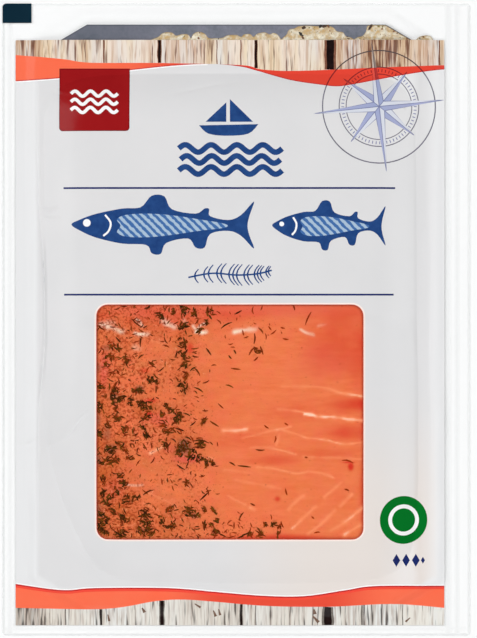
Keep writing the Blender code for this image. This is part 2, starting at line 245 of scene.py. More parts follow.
# %% Creases in the film, as lines with a height and a width in millimetres
# a height below 0 is a groove; the long one runs along the foot of the cushion
CREASES = [
    ([(-67.6, 86), (-67.4, 69), (-67, 40), (-65.2, 22), (-64.9, 8)], -0.36, 0.5),
    ([(-65.6, 26), (-64.9, 14), (-64.8, -6.9), (-65.6, -18), (-66.6, -28)], -0.46, 0.5),
    ([(-65.2, -12), (-66.8, -31), (-67.2, -60), (-67, -86)], -0.36, 0.5),
    ([(-66.8, 37.4), (-63.5, 36.9), (-59.6, 37.9)], -0.26, 0.5),
    ([(-66.4, 34.6), (-62.5, 33.9), (-59, 34.4)], -0.18, 0.5),
    ([(-48.8, -30), (-52.6, -33.6), (-55.4, -37.8), (-58.4, -40.4)], -0.42, 0.55),
    ([(-58.4, -40.4), (-63, -42.2), (-66, -46)], -0.12, 0.5),
    ([(-74.4, -42.8), (-70, -42), (-66.8, -40.5)], -0.14, 0.6),
    ([(-25.8, 74.8), (-19, 76.6), (-7.3, 79.2), (6, 80.6)], -0.1, 0.6),
    ([(-64, 78.6), (-56, 76.2), (-50, 77.6)], 0.12, 0.7),
    ([(1.2, -86.3), (5.2, -83.6), (9.6, -81.2)], -0.1, 0.7),
    ([(-56.5, -74), (-50.5, -80), (-47, -87)], 0.12, 0.8),
    ([(64.5, 60), (65.6, 20), (65, -10), (65.8, -40), (65.4, -80)], -0.12, 0.6),
    ([(57.6, 6), (60.8, -14), (61.4, -34)], 0.08, 0.8),
    ([(-79, 92), (-73, 93.2), (-67.5, 91.5)], 0.15, 0.9),
    ([(70.5, 71), (75, 69), (79, 70)], 0.14, 0.9), ([(71, -12), (75.5, -15), (79, -14)], 0.14, 0.9),
    ([(-50, 101.5), (-47, 104.5), (-46.5, 106.8)], 0.12, 0.8),
    ([(12, -97.5), (14.5, -101.5), (13.5, -106.5)], 0.12, 0.9),
    ([(54, 94), (60, 98.5), (64, 104)], 0.14, 0.9),
    ([(-60, -88.5), (-66, -94.5), (-69.5, -101)], 0.14, 0.9)]


CREASE_ENDS = (0.02, 0.98)
CREASE_FADE = 0.6


def crease_height(x, y):
    """All creases as soft ridges and grooves that fade out at their ends."""
    height = np.zeros(np.shape(x))
    for line, rise, width in CREASES:
        near, along = gap_and_share(in_mm(line), x, y)
        fade = np.sin(np.clip(along, *CREASE_ENDS) * math.pi) ** CREASE_FADE
        height += rise * MM * fade * np.exp(-(near / (width * MM)) ** 2)
    return height


print(len(CREASES), "creases")

# %% How high the film lies where
MAP_STEP = 0.3 * MM
MAP_REACH = (82 * MM, 109.5 * MM)
RIM_TOP = 0.45 * MM
RIM_WAVE = 0.12 * MM
PLATEAU = BOARD_HIGH[2] + 0.5 * MM
BOARD_WAVE = 0.05 * MM
# outside the board's edge the film falls to the weld between these
CLIMB_START = 4.6 * MM
CLIMB_END = 0.3 * MM
SLACK = 0.8 * MM
SALMON_RISE = 4.2 * MM
SALMON_WAVE = 0.18 * MM
MEETING_STEP = 0.6 * MM
# the step begins this far above the meeting line, and sinks again between these below it
STEP_ABOVE = 5 * MM
STEP_SINKS = (4 * MM, 50 * MM)
MARINADE_CENTRE = (47 * MM, 96 * MM)
MARINADE_REACH = (16 * MM, 4.2 * MM)
MARINADE_RISE = 0.7 * MM
CUSHION_EDGE = 16 * MM
# the foot of the cushion that the slices make, in millimetres
CUSHION_FOOT = [
    (-65.2, 62), (-65, 20), (-64.7, -8), (-65, -28), (-63.4, -43), (-60.5, -55), (-57, -65.4),
    (-52.5, -75), (-47.5, -83), (-40, -87.3), (-28, -88.6), (0, -89), (28, -88.8), (48, -87.4),
    (57.5, -81), (60.8, -68), (61.4, -40), (61, 0), (60.8, 40), (60, 68), (55, 79.5), (42, 82.6),
    (15, 83), (-15, 83), (-44, 82.6), (-58, 79.5), (-64, 72)]
CUSHION = through(in_mm(CUSHION_FOOT), 4, True)
print("plateau over the board", round(PLATEAU / MM, 2), "mm")


# %% The film's upper face over the whole pouch
def marinade_rise(x, y):
    across, along = ((v - middle) / reach for v, middle, reach
                     in zip((x, y), MARINADE_CENTRE, MARINADE_REACH))
    return MARINADE_RISE * np.exp(-across ** 2 - along ** 2)


def salmon_rise(x, y):
    """How far the slices lift the film: a cushion with a step where they meet."""
    share = np.clip(depth_in(CUSHION, x, y) / CUSHION_EDGE, 0, 1)
    cushion = np.sin(share * math.pi / 2)
    below = meeting_y(x) - y
    step = ease(below, -STEP_ABOVE, 0) * (1 - ease(below, *STEP_SINKS))
    uneven = SALMON_WAVE * np.sin(x * 95 + 0.6) * np.sin(y * 70 + 1.1)
    return cushion * (SALMON_RISE + MEETING_STEP * step + uneven)


def film_shape(x, y):
    """The formula behind the height map."""
    slack = SLACK * (1 + hills("slack", x, y))
    climb = ease(depth_in(BOARD, x, y), -CLIMB_START - slack, -CLIMB_END - 0.5 * slack)
    flat = RIM_TOP + RIM_WAVE * (hills("weld", x, y) + 0.4 * hills("weld_ripple", x, y))
    over_board = BOARD_WAVE * hills("over_board", x, y)
    top = flat + climb * (PLATEAU - flat + marinade_rise(x, y) + over_board)
    return top + salmon_rise(x, y) + crease_height(x, y)


MAP_X, MAP_Y = (np.arange(-reach, reach, MAP_STEP) for reach in MAP_REACH)
FILM_MAP = film_shape(*np.meshgrid(MAP_X, MAP_Y, indexing="ij"))


def film_top(x, y):
    """Height of the film's upper face, read from the map between its points."""
    u, v = (np.asarray(x) - MAP_X[0]) / MAP_STEP, (np.asarray(y) - MAP_Y[0]) / MAP_STEP
    i = np.clip(np.floor(u).astype(int), 0, len(MAP_X) - 2)
    j = np.clip(np.floor(v).astype(int), 0, len(MAP_Y) - 2)
    return blended([FILM_MAP[i + a, j + b] for a in (0, 1) for b in (0, 1)], u - i, v - j)


print("film map", FILM_MAP.shape, "up to", round(float(FILM_MAP.max()) / MM, 2), "mm")


# %% [markdown]
# A net of triangles turns the map into a mesh. An even grid would need its finest step
# everywhere. Here the map's own bends choose: points stand close where the film curves
# and far apart where it is flat. A constrained Delaunay triangulation then joins them,
# and it keeps every outline given to it as a line of edges, so printed shapes have crisp rims.

# %% Points that stand closer where the film bends
TOLERANCE = 0.014 * MM
LEVELS = 4


def bend_map():
    """The sharpest bend of the film near each point of the map, in 1/m."""
    slope_x, slope_y = np.gradient(FILM_MAP, MAP_STEP)
    xx, xy = np.gradient(slope_x, MAP_STEP)
    yy = np.gradient(slope_y, MAP_STEP, axis=1)
    bend = np.sqrt(xx ** 2 + yy ** 2 + 2 * xy ** 2)
    for axis in (0, 1):
        bend = np.maximum.reduce([bend, np.roll(bend, 1, axis), np.roll(bend, -1, axis)])
    return bend


def lattice_points():
    """The map's points that the film needs, as an array of (x, y)."""
    wanted = np.sqrt(8 * TOLERANCE / (bend_map() + 1e-9))
    i, j = np.meshgrid(np.arange(len(MAP_X)), np.arange(len(MAP_Y)), indexing="ij")
    keep = np.zeros(wanted.shape, bool)
    for level in range(LEVELS):
        skip = 2 ** level
        on_level = (i % skip == 0) & (j % skip == 0)
        keep |= on_level & ((level == LEVELS - 1) | (wanted < 2 * skip * MAP_STEP))
    return np.column_stack([MAP_X[i[keep]], MAP_Y[j[keep]]])


LATTICE = lattice_points()
print("lattice", len(LATTICE), "points")


# %% A net over a region, with outlines kept as edges
RIM_MARGIN = 0.1 * MM


def make_net(border, points, outlines=(), spacing=2 * MM):
    """Points and triangles inside a border, with every outline among their edges."""
    spots, edges = [], []
    for outline in [border, *outlines]:
        loop = finely(outline, spacing)
        first = len(spots)
        spots += loop
        edges += [(first + k, first + (k + 1) % len(loop)) for k in range(len(loop))]
    well_inside = depth_in(border, points[:, 0], points[:, 1]) > RIM_MARGIN
    spots += points[well_inside].tolist()
    found = delaunay_2d_cdt([Vector(s) for s in spots], edges, [], 0, 1e-8)
    places = np.array([(v.x, v.y) for v in found[0]])
    triangles = np.array(found[2])
    middles = places[triangles].mean(axis=1)
    triangles = triangles[inside(border, middles[:, 0], middles[:, 1])]
    a, b, c = (places[triangles[:, k]] for k in range(3))
    turn = (b[:, 0] - a[:, 0]) * (c[:, 1] - a[:, 1]) - (b[:, 1] - a[:, 1]) * (c[:, 0] - a[:, 0])
    triangles[turn < 0] = triangles[turn < 0][:, ::-1]
    return places, triangles[turn != 0]


def rim_edges(triangles):
    """Directed edges that belong to one triangle only."""
    edges = np.concatenate([triangles[:, [0, 1]], triangles[:, [1, 2]], triangles[:, [2, 0]]])
    size = int(triangles.max()) + 1
    forward = edges[:, 0] * size + edges[:, 1]
    backward = edges[:, 1] * size + edges[:, 0]
    return edges[~np.isin(forward, backward)]


# %% Thin closed sheets from a net
SHARP_ANGLE = 50


def put_mesh(name, points, faces, material):
    """A smooth mesh object that rides on the frame's body."""
    data = bpy.data.meshes.new(name)
    data.from_pydata(points.tolist(), [], faces)
    data.materials.append(material)
    data.shade_smooth()
    data.set_sharp_from_angle(angle=math.radians(SHARP_ANGLE))
    piece = bpy.data.objects.new(name, data)
    bpy.context.scene.collection.objects.link(piece)
    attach(piece, "root")
    print(f"{name}: {len(faces)} faces")
    return piece


def make_sheet(name, net, upper, lower, material):
    """A closed solid between two heights, each a function of x and y, over a net's triangles."""
    places, triangles = net
    used, corners = np.unique(triangles, return_inverse=True)
    triangles = corners.reshape(triangles.shape)
    x, y = places[used].T
    count = len(used)
    points = np.concatenate([np.column_stack([x, y, height(x, y)]) for height in (upper, lower)])
    a, b = rim_edges(triangles).T
    faces = np.concatenate([triangles, triangles[:, ::-1] + count,
                            np.column_stack([b, a, a + count]),
                            np.column_stack([b, a + count, b + count])])
    return put_mesh(name, points, faces.tolist(), material)


# %% Numbers that a mesh holds for its shader
def store_values(piece, name, domain, values):
    """A number for every point or every face of a piece."""
    layer = piece.data.attributes.new(name, "FLOAT", domain)
    layer.data.foreach_set("value", np.asarray(values, np.float32))


def values_by_place(piece, name, domain, rule):
    """The same from a rule of x and y; with one number for a face, neighbours may jump."""
    items, key = {"POINT": (piece.data.vertices, "co"),
                  "FACE": (piece.data.polygons, "center")}[domain]
    spots = np.empty(len(items) * 3)
    items.foreach_get(key, spots)
    x, y, _ = spots.reshape(-1, 3).T
    store_values(piece, name, domain, rule(x, y))


# %% [markdown]
# Camera and light. The pack is seen from straight above through a long lens, so that
# its sides stay parallel. The floor is white and the light soft. A flat film mirrors
# what hangs above it, so the sky is dark overhead and bright low down: slopes and
# creases catch a gleam, and the flat print stays clean.

# %% Camera
VIEW_HEIGHT = 215.5 * MM
VIEW_CENTRE = (0.7 * MM, 0.2 * MM)
LENS = 200
SENSOR = 36

camera_data = bpy.data.cameras.new("camera")
camera_data.lens = LENS
camera_data.sensor_width = SENSOR
camera_data.clip_end = 20
camera = bpy.data.objects.new("camera", camera_data)
camera.location = (*VIEW_CENTRE, VIEW_HEIGHT * LENS / SENSOR + 2 * MM)
bpy.context.scene.collection.objects.link(camera)
bpy.context.scene.camera = camera
bpy.context.scene.view_settings.view_transform = "Standard"
print("camera", round(camera.location.z, 3), "m above the floor")


# %% Soft boxes at three sides
# each lamp's place, size in metres and power in watts
LAMPS = {"key_left": ((-1.35, 0.35, 1.45), 1.1, 28.5),
         "fill_upper_right": ((1.3, 0.8, 1.45), 1.3, 24.5),
         "fill_lower": ((0.1, -1.5, 1.4), 1.3, 22)}


def soft_box(name, place, size, watts):
    """A square lamp that faces the pack and isn't seen itself."""
    data = bpy.data.lights.new(name, "AREA")
    data.shape = "SQUARE"
    data.size = size
    data.energy = watts
    lamp = bpy.data.objects.new(name, data)
    lamp.location = place
    lamp.rotation_euler = (-Vector(place)).to_track_quat("-Z", "Y").to_euler()
    lamp.visible_camera = False
    bpy.context.scene.collection.objects.link(lamp)


for lamp_name, settings in LAMPS.items():
    soft_box(lamp_name, *settings)
print("lamps", ", ".join(LAMPS))


# %% Helpers for shader nodes
def plug(node, socket, value):
    """One input of a node gets a link if the value is a socket, and the value itself if not."""
    if isinstance(value, bpy.types.NodeSocket):
        node.id_data.links.new(value, node.inputs[socket])
    else:
        node.inputs[socket].default_value = value


def fill(node, values):
    """The same for several inputs by name, with _ for a space."""
    for label, value in values.items():
        plug(node, label.replace("_", " "), value)
    return node


def add(tree, kind, **values):
    return fill(tree.nodes.new(f"ShaderNode{kind}"), values)


def math_node(tree, operation, *values):
    """A Math node on sockets or numbers; gives its output socket."""
    node = add(tree, "Math")
    node.operation = operation
    for socket, value in enumerate(values):
        plug(node, socket, value)
    return node.outputs[0]


def ranged(tree, value, start, full, low=0.0, high=1.0, curve="LINEAR"):
    """A value that goes from low at start to high at full; gives the output socket."""
    node = add(tree, "MapRange", Value=value, From_Min=start, From_Max=full, To_Min=low, To_Max=high)
    node.interpolation_type = curve
    return node.outputs["Result"]


# %% Sky: bright low down, dark overhead
SKY_LOW, SKY_HIGH = 0.25, 0.85
SKY_BRIGHT, SKY_DARK = 1.2, 0.35


def make_sky():
    world = bpy.data.worlds.new("studio")
    world.use_nodes = True
    tree = world.node_tree
    direction = add(tree, "TexCoord").outputs["Generated"]
    height = add(tree, "SeparateXYZ", Vector=direction).outputs["Z"]
    strength = ranged(tree, height, SKY_LOW, SKY_HIGH, SKY_BRIGHT, SKY_DARK, "SMOOTHSTEP")
    plug(tree.nodes["Background"], "Strength", strength)
    bpy.context.scene.world = world


make_sky()
print("sky", SKY_BRIGHT, "low down and", SKY_DARK, "overhead")

# %% [markdown]
# Finishes. Colours are given as they look on screen and divided by the brightness that
# white paper has in this light. What several finishes share, such as fine wrinkles or
# mottling, is a node group that puts out a height or a mask. The shader that uses it
# stays in the material, so a renderer or an exporter finds it there.

# %% Colours as they look on screen
LIGHT_GAIN = 1.12
# of a Mix node that mixes colours: the inputs for share, first and second, and the output
MIX_INPUTS, MIX_OUTPUT = (0, 6, 7), 2


def looks(red, green, blue):
    """Paint that looks like this 8-bit screen colour in the scene's light."""
    def linear(value):
        value /= 255
        return value / 12.92 if value <= 0.04045 else ((value + 0.055) / 1.055) ** 2.4
    return tuple(linear(v) / LIGHT_GAIN for v in (red, green, blue)) + (1.0,)


def mix_colors(tree, share, first, second):
    """Blend of two colours: sockets, screen colours of three numbers, or paints of four."""
    node = add(tree, "Mix")
    node.data_type = "RGBA"
    for socket, value in zip(MIX_INPUTS, (share, first, second)):
        plug(node, socket, looks(*value) if isinstance(value, tuple) and len(value) == 3 else value)
    return node.outputs[MIX_OUTPUT]


def layered(tree, base, *layers):
    """Colours laid over a base one after another, each layer a share and a colour."""
    for share, color in layers:
        base = mix_colors(tree, share, base, color)
    return base


print("white paper is", LIGHT_GAIN, "times as bright as its paint")

# %% Node groups, and what their inputs read
# an input's kind, by how many numbers it takes
SOCKET_KINDS = {1: "NodeSocketFloat", 3: "NodeSocketVector", 4: "NodeSocketColor"}


def read_value(tree, name):
    """The number that a piece's mesh holds under this name."""
    node = add(tree, "Attribute")
    node.attribute_name = name
    return node.outputs["Fac"]


def object_place(tree):
    """The point on the piece, in metres of the frame."""
    return add(tree, "TexCoord").outputs["Object"]


def make_group(name, result, build, **inputs):
    """A node group; build(tree, given) makes its nodes and gives the socket of its result."""
    tree = bpy.data.node_groups.new(name, "ShaderNodeTree")
    for label, value in inputs.items():
        kind = SOCKET_KINDS[len(value) if isinstance(value, tuple) else 1]
        socket = tree.interface.new_socket(label, in_out="INPUT", socket_type=kind)
        socket.default_value = value
    kind = SOCKET_KINDS[4 if result == "Color" else 1]
    tree.interface.new_socket(result, in_out="OUTPUT", socket_type=kind)
    given = tree.nodes.new("NodeGroupInput").outputs
    plug(tree.nodes.new("NodeGroupOutput"), result, build(tree, given))
    print(f"group {name}: {len(tree.nodes)} nodes")
    return tree


def place_group(tree, group, **values):
    """A node group placed with its own values; gives its output socket."""
    node = add(tree, "Group")
    node.node_tree = group
    return fill(node, values).outputs[0]


# %% Group: mottling, the slow unevenness of ink, metal and flesh
def mottling(tree, given):
    """Noise that is stretched about its middle."""
    noise = add(tree, "TexNoise", Vector=given["Place"], Scale=given["Scale"], Detail=4.0,
                Roughness=0.55)
    centred = math_node(tree, "SUBTRACT", noise.outputs["Fac"], 0.5)
    stretched = math_node(tree, "MULTIPLY", centred, given["Contrast"])
    return add(tree, "Clamp", Value=math_node(tree, "ADD", stretched, 0.5)).outputs[0]


MOTTLING = make_group("Mottling", "Mask", mottling, Place=(0, 0, 0), Scale=100.0, Contrast=1.0)


def mottled(tree, scale, contrast, strength=1, place=None):
    """A mask of soft patches, by the point on the piece unless another place is given."""
    mask = place_group(tree, MOTTLING, Place=place or object_place(tree), Scale=scale,
                       Contrast=contrast)
    return mask if strength == 1 else math_node(tree, "MULTIPLY", mask, strength)


# %% Group: a soft stripe, for edges, seams and welds
def soft_stripe(tree, given):
    """A soft-edged stripe of a given width."""
    off = math_node(tree, "SUBTRACT", given["Along"], given["Middle"])
    share = math_node(tree, "DIVIDE", math_node(tree, "ABSOLUTE", off), given["Width"])
    fade = ranged(tree, share, 0.0, 1.0, 1.0, 0.0, "SMOOTHSTEP")
    return math_node(tree, "MULTIPLY", fade, given["Strength"])


STRIPE = make_group("Soft stripe", "Mask", soft_stripe, Along=0.0, Middle=0.0, Width=0.001,
                    Strength=0.1)


def striped(tree, lines):
    """The strongest of several stripes: each is its place, middle, width and strength."""
    mask = 0.0
    for along, middle, width, strength in lines:
        line = place_group(tree, STRIPE, Along=along, Middle=middle, Width=width, Strength=strength)
        mask = math_node(tree, "MAXIMUM", line, mask)
    return mask


# %% Group: the fine wrinkles of film that vacuum has pulled on
WRINKLE_DEPTH = 0.03 * MM
BROAD_WRINKLES = {"Scale": 110.0, "Detail": 2.0, "Roughness": 0.45, "Distortion": 0.6}
FINE_WRINKLES = {"Scale": 420.0, "Detail": 1.0, "Roughness": 0.5, "Distortion": 0.3}
FINE_SHARE = 0.18


def film_wrinkles(tree, given):
    """Broad wrinkles with a few finer ones on them."""
    broad = add(tree, "TexNoise", Vector=given["Place"], **BROAD_WRINKLES)
    fine = add(tree, "TexNoise", Vector=given["Place"], **FINE_WRINKLES)
    small = math_node(tree, "MULTIPLY", fine.outputs["Fac"], FINE_SHARE)
    both = math_node(tree, "ADD", broad.outputs["Fac"], small)
    return math_node(tree, "MULTIPLY", both, given["Depth"])


WRINKLES = make_group("Film wrinkles", "Height", film_wrinkles, Place=(0, 0, 0), Depth=1.0)


# %% Materials from plain values and colour functions
def make_finish(name, wrinkled, **values):
    """A material whose shader gets plain values, or what a function of its tree builds."""
    material = bpy.data.materials.new(name)
    material.use_nodes = True
    tree = material.node_tree
    shader = tree.nodes["Principled BSDF"]
    fill(shader, {label: value(tree) if callable(value) else value
                  for label, value in values.items()})
    if wrinkled:
        height = place_group(tree, WRINKLES, Place=object_place(tree), Depth=wrinkled)
        bump = add(tree, "Bump", Strength=1.0, Distance=WRINKLE_DEPTH, Height=height)
        plug(shader, "Normal", bump.outputs["Normal"])
    print(f"finish {name}: {len(tree.nodes)} nodes")
    return material

# %% [markdown]
# Clear film. It is thinner than a hair and hardly tints what is behind it, so it is a glossy
# surface with almost no opacity, more of it where the film is seen at a slant, and not real
# glass: glass would bend the light and darken the fish. Where the two films are welded the
# plastic is milky along a few lines, and those are soft stripes at named places.

# %% Clear film
FILM_TINT = (0.62, 0.66, 0.66, 1)
FILM_MIRROR = 0.002
SLANT_POWER = 5.0
# the milky lines of the weld: middle and width in millimetres, and strength
WELD_LINES = {"X": [(-78.9, 0.7, 0.09), (-76.6, 1.6, 0.03), (71.6, 1.8, 0.03), (74.6, 1.5, 0.03),
                    (78.8, 0.9, 0.06)],
              "Y": [(-106.6, 0.7, 0.07), (-104.6, 1.3, 0.02), (106.6, 0.6, 0.04)]}


def film_opacity(tree):
    """Almost nothing, more at a slant and in the weld."""
    place = add(tree, "SeparateXYZ", Vector=object_place(tree)).outputs
    haze = striped(tree, [(place[axis], middle * MM, width * MM, strength)
                          for axis, lines in WELD_LINES.items() for middle, width, strength in lines])
    facing = add(tree, "LayerWeight", Blend=0.5).outputs["Facing"]
    mirror = math_node(tree, "ADD", math_node(tree, "POWER", facing, SLANT_POWER), FILM_MIRROR)
    return math_node(tree, "MAXIMUM", mirror, haze)


CLEAR_FILM = make_finish("clear_film", 1.0, Base_Color=FILM_TINT, Roughness=0.08, IOR=1.45,
                         Alpha=film_opacity)

# %% Front and back film
FILM_THICKNESS = 0.08 * MM
FILM_GAP = 0.03 * MM
BOARD_GAP = 0.05 * MM


def below_film(x, y, gap=0):
    """The front film's lower face, or a height that leaves a gap below it."""
    return film_top(x, y) - FILM_THICKNESS - gap


def back_top(x, y):
    """The back film: flat under the board, and against the front film in the weld."""
    return np.minimum(below_film(x, y, FILM_GAP), BOARD_LOW[2] - BOARD_GAP)


def back_under(x, y):
    return back_top(x, y) - FILM_THICKNESS


front_film = make_sheet("front_film", make_net(POUCH, LATTICE), film_top, below_film,
                        CLEAR_FILM)
back_film = make_sheet("back_film", make_net(POUCH, LATTICE[::3]), back_top, back_under,
                       CLEAR_FILM)
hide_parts("pouch")
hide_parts("pouch")

# %% [markdown]
# The board is stiff card faced with silver foil. Its solid has the right shape, so the CAD
# piece stays and only gets a finish: a partly metallic layer whose tone shifts in soft patches.

# %% Silver board
SILVER_TONES = ((96, 104, 116), (134, 134, 148))
SILVER_SPECKS = (158, 158, 172)
SHADED_SILVER = (84, 90, 102)
CUT_EDGE = (52, 56, 66)
CUT_EDGE_WIDTH = 0.55 * MM
CUT_EDGE_STRENGTH = 0.75
# scale and contrast of the patches, and how strong the specks are
SILVER_PATCHES = (120.0, 2.6)
SPECKLES = (900.0, 2.0, 0.4)
# the left part turns darker between these
SHADE_FROM, SHADE_TO, SHADE_MOST = -8 * MM, -40 * MM, 0.5


def silver(tree):
    """Soft patches and specks, darker to the left and along the card's cut edge."""
    place = add(tree, "SeparateXYZ", Vector=object_place(tree)).outputs
    # abs(x) lets one slanting stripe serve both chamfers
    sideways = math_node(tree, "ABSOLUTE", place["X"])
    cut_x, cut_y = BOARD_CHAMFER
    slant = math.hypot(cut_x, cut_y)
    leaning = math_node(tree, "ADD", math_node(tree, "MULTIPLY", sideways, cut_y / slant),
                        math_node(tree, "MULTIPLY", place["Y"], cut_x / slant))
    right, top, _ = BOARD_HIGH
    chamfer_at = (right * cut_y + (top - cut_y) * cut_x) / slant
    edge = striped(tree, [(along, middle, CUT_EDGE_WIDTH, CUT_EDGE_STRENGTH) for along, middle
                          in ((place["Y"], top), (leaning, chamfer_at), (sideways, right))])
    return layered(tree, mix_colors(tree, mottled(tree, *SILVER_PATCHES), *SILVER_TONES),
                   (mottled(tree, *SPECKLES), SILVER_SPECKS),
                   (ranged(tree, place["X"], SHADE_FROM, SHADE_TO, high=SHADE_MOST), SHADED_SILVER),
                   (edge, CUT_EDGE))


SILVER_BOARD = make_finish("silver_board", 0.5, Base_Color=silver, Metallic=0.2, Roughness=0.4)
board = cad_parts["board"]
board.data.materials.clear()
board.data.materials.append(SILVER_BOARD)

# %% [markdown]
# The print. On the real pack it is ink on the film. Here it is one net cut along the rims of
# all the printed fields, and each ink takes its own triangles as a thin sheet just above the
# film. Fields drawn later lie over earlier ones, as on a press. One shared net means that
# neighbouring inks meet exactly, with no gap and no overlap.

# %% Drawing helpers for print
FIELDS = []


def print_field(name, shapes, ink):
    """Adds shapes, each a list of outlines of which inner ones are holes, in printing order."""
    FIELDS.append((name, shapes, ink))


def print_signs(name, outlines, ink):
    """Adds plain outlines that are given in millimetres."""
    print_field(name, [[in_mm(outline)] for outline in outlines], ink)


def stroke(line, width):
    """The outline of a line drawn with a pen of the given width, one number or one a point."""
    spots = np.array(line, float)
    widths = np.broadcast_to(np.asarray(width, float), len(spots))
    forward = np.gradient(spots, axis=0)
    forward /= np.linalg.norm(forward, axis=1)[:, None]
    aside = np.column_stack([-forward[:, 1], forward[:, 0]]) * widths[:, None] / 2
    return [tuple(p) for p in (spots + aside)] + [tuple(p) for p in (spots - aside)[::-1]]


def ring(centre, radius, width, steps=72):
    """Two circles, of which the inner one is the hole."""
    return [circle(centre, radius + width / 2, steps), circle(centre, radius - width / 2, steps)]


def box(left, bottom, right, top):
    return [(left, bottom), (right, bottom), (right, top), (left, top)]


def strip(upper, lower):
    """The field between two lines that both run from left to right."""
    return [upper + lower[::-1]]


def lowered(line, drop):
    return [(x, y - drop) for x, y in line]


# %% Tones of the inks
INK_GLOSS = {"Roughness": 0.22, "Specular_IOR_Level": 0.06}
INK_MOTTLING = 1.6
# an ink's two close tones, and how fine its patches are where they aren't broad
BROAD_PATCHES = 90
INKS = {
    "navy_ink": ((28, 36, 92), (36, 50, 110)),
    "deep_blue_ink": ((28, 58, 112), (44, 80, 138), 400),
    "dark_coral_ink": ((186, 42, 46), (200, 52, 50)),
    "red_coral_ink": ((240, 72, 60), (244, 82, 64)),
    "dark_red_ink": ((146, 20, 24), (158, 28, 30)),
    "maroon_ink": ((112, 14, 22), (122, 18, 26)),
    "green_ink": ((4, 108, 34), (8, 118, 42)),
    "white_ink": ((246, 246, 246), (250, 250, 250)),
    "eye_mark_ink": ((13, 38, 52), (18, 44, 58)),
    "black_gap_ink": ((16, 10, 10), (40, 26, 24), 600),
    "brown_gap_ink": ((104, 62, 48), (150, 104, 82), 900),
    "grey_gap_ink": ((96, 90, 84), (140, 132, 124), 900),
    "knot_brown": ((92, 68, 56), (136, 108, 92), 900),
    "window_rim_ink": ((246, 226, 218), (250, 236, 228)),
    # a painted shadow along the inside of the window's edge
    "window_edge_shadow_ink": ((188, 76, 60), (206, 92, 74)),
    "coral_ink": ((250, 106, 74), (247, 116, 84)),
    "compass_ring_ink": ((98, 98, 110), (122, 118, 134)),
    "compass_line_ink": ((112, 122, 162), (134, 134, 168)),
    "compass_blue_ink": ((156, 168, 204), (172, 174, 208)),
    "compass_pale_ink": ((212, 217, 228), (220, 222, 231))}
# tones that an ink takes on by the values its mesh holds
INK_CHANGES = {
    "coral_ink": {"redder": (226, 70, 54)},
    "compass_ring_ink": {"on_coral": (128, 40, 42), "on_planks": (86, 74, 74)},
    "compass_line_ink": {"on_coral": (138, 42, 44), "on_planks": (92, 82, 84)},
    "compass_blue_ink": {"on_coral": (176, 54, 52), "on_planks": (140, 124, 116)},
    "compass_pale_ink": {"on_coral": (220, 80, 68), "on_planks": (196, 180, 168)}}
# the lift tone is painted light, for paper at the right that would lie in shade
PAPER = {"plain": (233, 234, 235), "lift": (242, 242, 243), "warm": (230, 220, 213),
         "over_board": ((217, 217, 218), (223, 222, 223))}
PAPER_PATCHES = 45


# %% Ink and paper
def make_ink(name, plain, patch, patches=BROAD_PATCHES):
    """Glossy ink on film, under the film's fine wrinkles."""
    def tone(tree):
        tones = mix_colors(tree, mottled(tree, patches, INK_MOTTLING), plain, patch)
        return layered(tree, tones, *((read_value(tree, value), color)
                                      for value, color in INK_CHANGES.get(name, {}).items()))
    make_finish(name, 1.0, Base_Color=tone, **INK_GLOSS)


def paper_tone(tree):
    """White ink, greyer where the dark board lies behind it, lighter over the weld; painted shade at
    left, light at right.
    """
    grey = mix_colors(tree, mottled(tree, PAPER_PATCHES, INK_MOTTLING), *PAPER["over_board"])
    grey = mix_colors(tree, read_value(tree, "warm"), grey, PAPER["warm"])
    return layered(tree, PAPER["plain"], (read_value(tree, "backed_and_painted_shade"), grey),
                   (read_value(tree, "lift"), PAPER["lift"]))


make_finish("paper_white", 1.0, Base_Color=paper_tone, **INK_GLOSS)
for ink_name, ink_tones in INKS.items():
    make_ink(ink_name, *ink_tones)

# %% Edges of the coral bands and the plank strips
PLANK_EDGE_TOP = through(in_mm([
    (-74.7, 89.5), (-58.6, 88), (-49.5, 86.8), (-27.2, 86.7), (1.2, 86), (7.9, 84.6),
    (18.1, 84), (34, 84.5), (44.4, 85), (57.3, 85.5), (70.3, 86)]))
CORAL_EDGE_TOP = through(in_mm([
    (-74.7, 80.6), (-60.3, 81.5), (-35.6, 84.3), (-19.8, 85.9), (-8, 86.35), (1.2, 85.5), (6.2, 84.3),
    (18.1, 80.9), (28.9, 79.2), (34.3, 78.7), (40.4, 79.6), (52.2, 81.9), (62.3, 83.6), (70.3, 84.6)]))
CORAL_EDGE_BOTTOM = through(in_mm([
    (-74.7, -89.4), (-64.4, -90.9), (-56.6, -91.4), (-47.8, -90.7), (-23.1, -90.7),
    (-5.9, -92.1), (9, -93.3), (23.1, -93.4), (37, -91.4), (47.1, -90), (70.3, -90)]))
PLANK_EDGE_BOTTOM = through(in_mm([
    (-74.7, -97.5), (-44.8, -97.8), (-27.2, -95.1), (-17.7, -94.6), (-7.6, -95.3),
    (11.3, -96.8), (31.9, -97), (52.2, -96.1), (70.3, -97.5)]))
TOP_LINE, BOTTOM_LINE = ([(PANEL["left"], PANEL[side]), (PANEL["right"], PANEL[side])]
                         for side in ("top", "bottom"))
THIN_PLACE = -8 * MM
HIGHLIGHT = 0.4 * MM
BLUSH = 1.2 * MM
DARK_RIM = 0.45 * MM
TOP_DARK_RIM = 0.3 * MM

# %% Paper and coral bands
left_part = [spot for spot in CORAL_EDGE_TOP if spot[0] < THIN_PLACE]
print_field("paper", [[box(*grown(PANEL)), OPENING]], "paper_white")
print_field("highlights", [strip(left_part, lowered(left_part, HIGHLIGHT)),
                           strip(lowered(CORAL_EDGE_BOTTOM, -HIGHLIGHT), CORAL_EDGE_BOTTOM)],
            "white_ink")
print_field("coral_bands", [strip(TOP_LINE, CORAL_EDGE_TOP), strip(CORAL_EDGE_BOTTOM, BOTTOM_LINE)],
            "coral_ink")
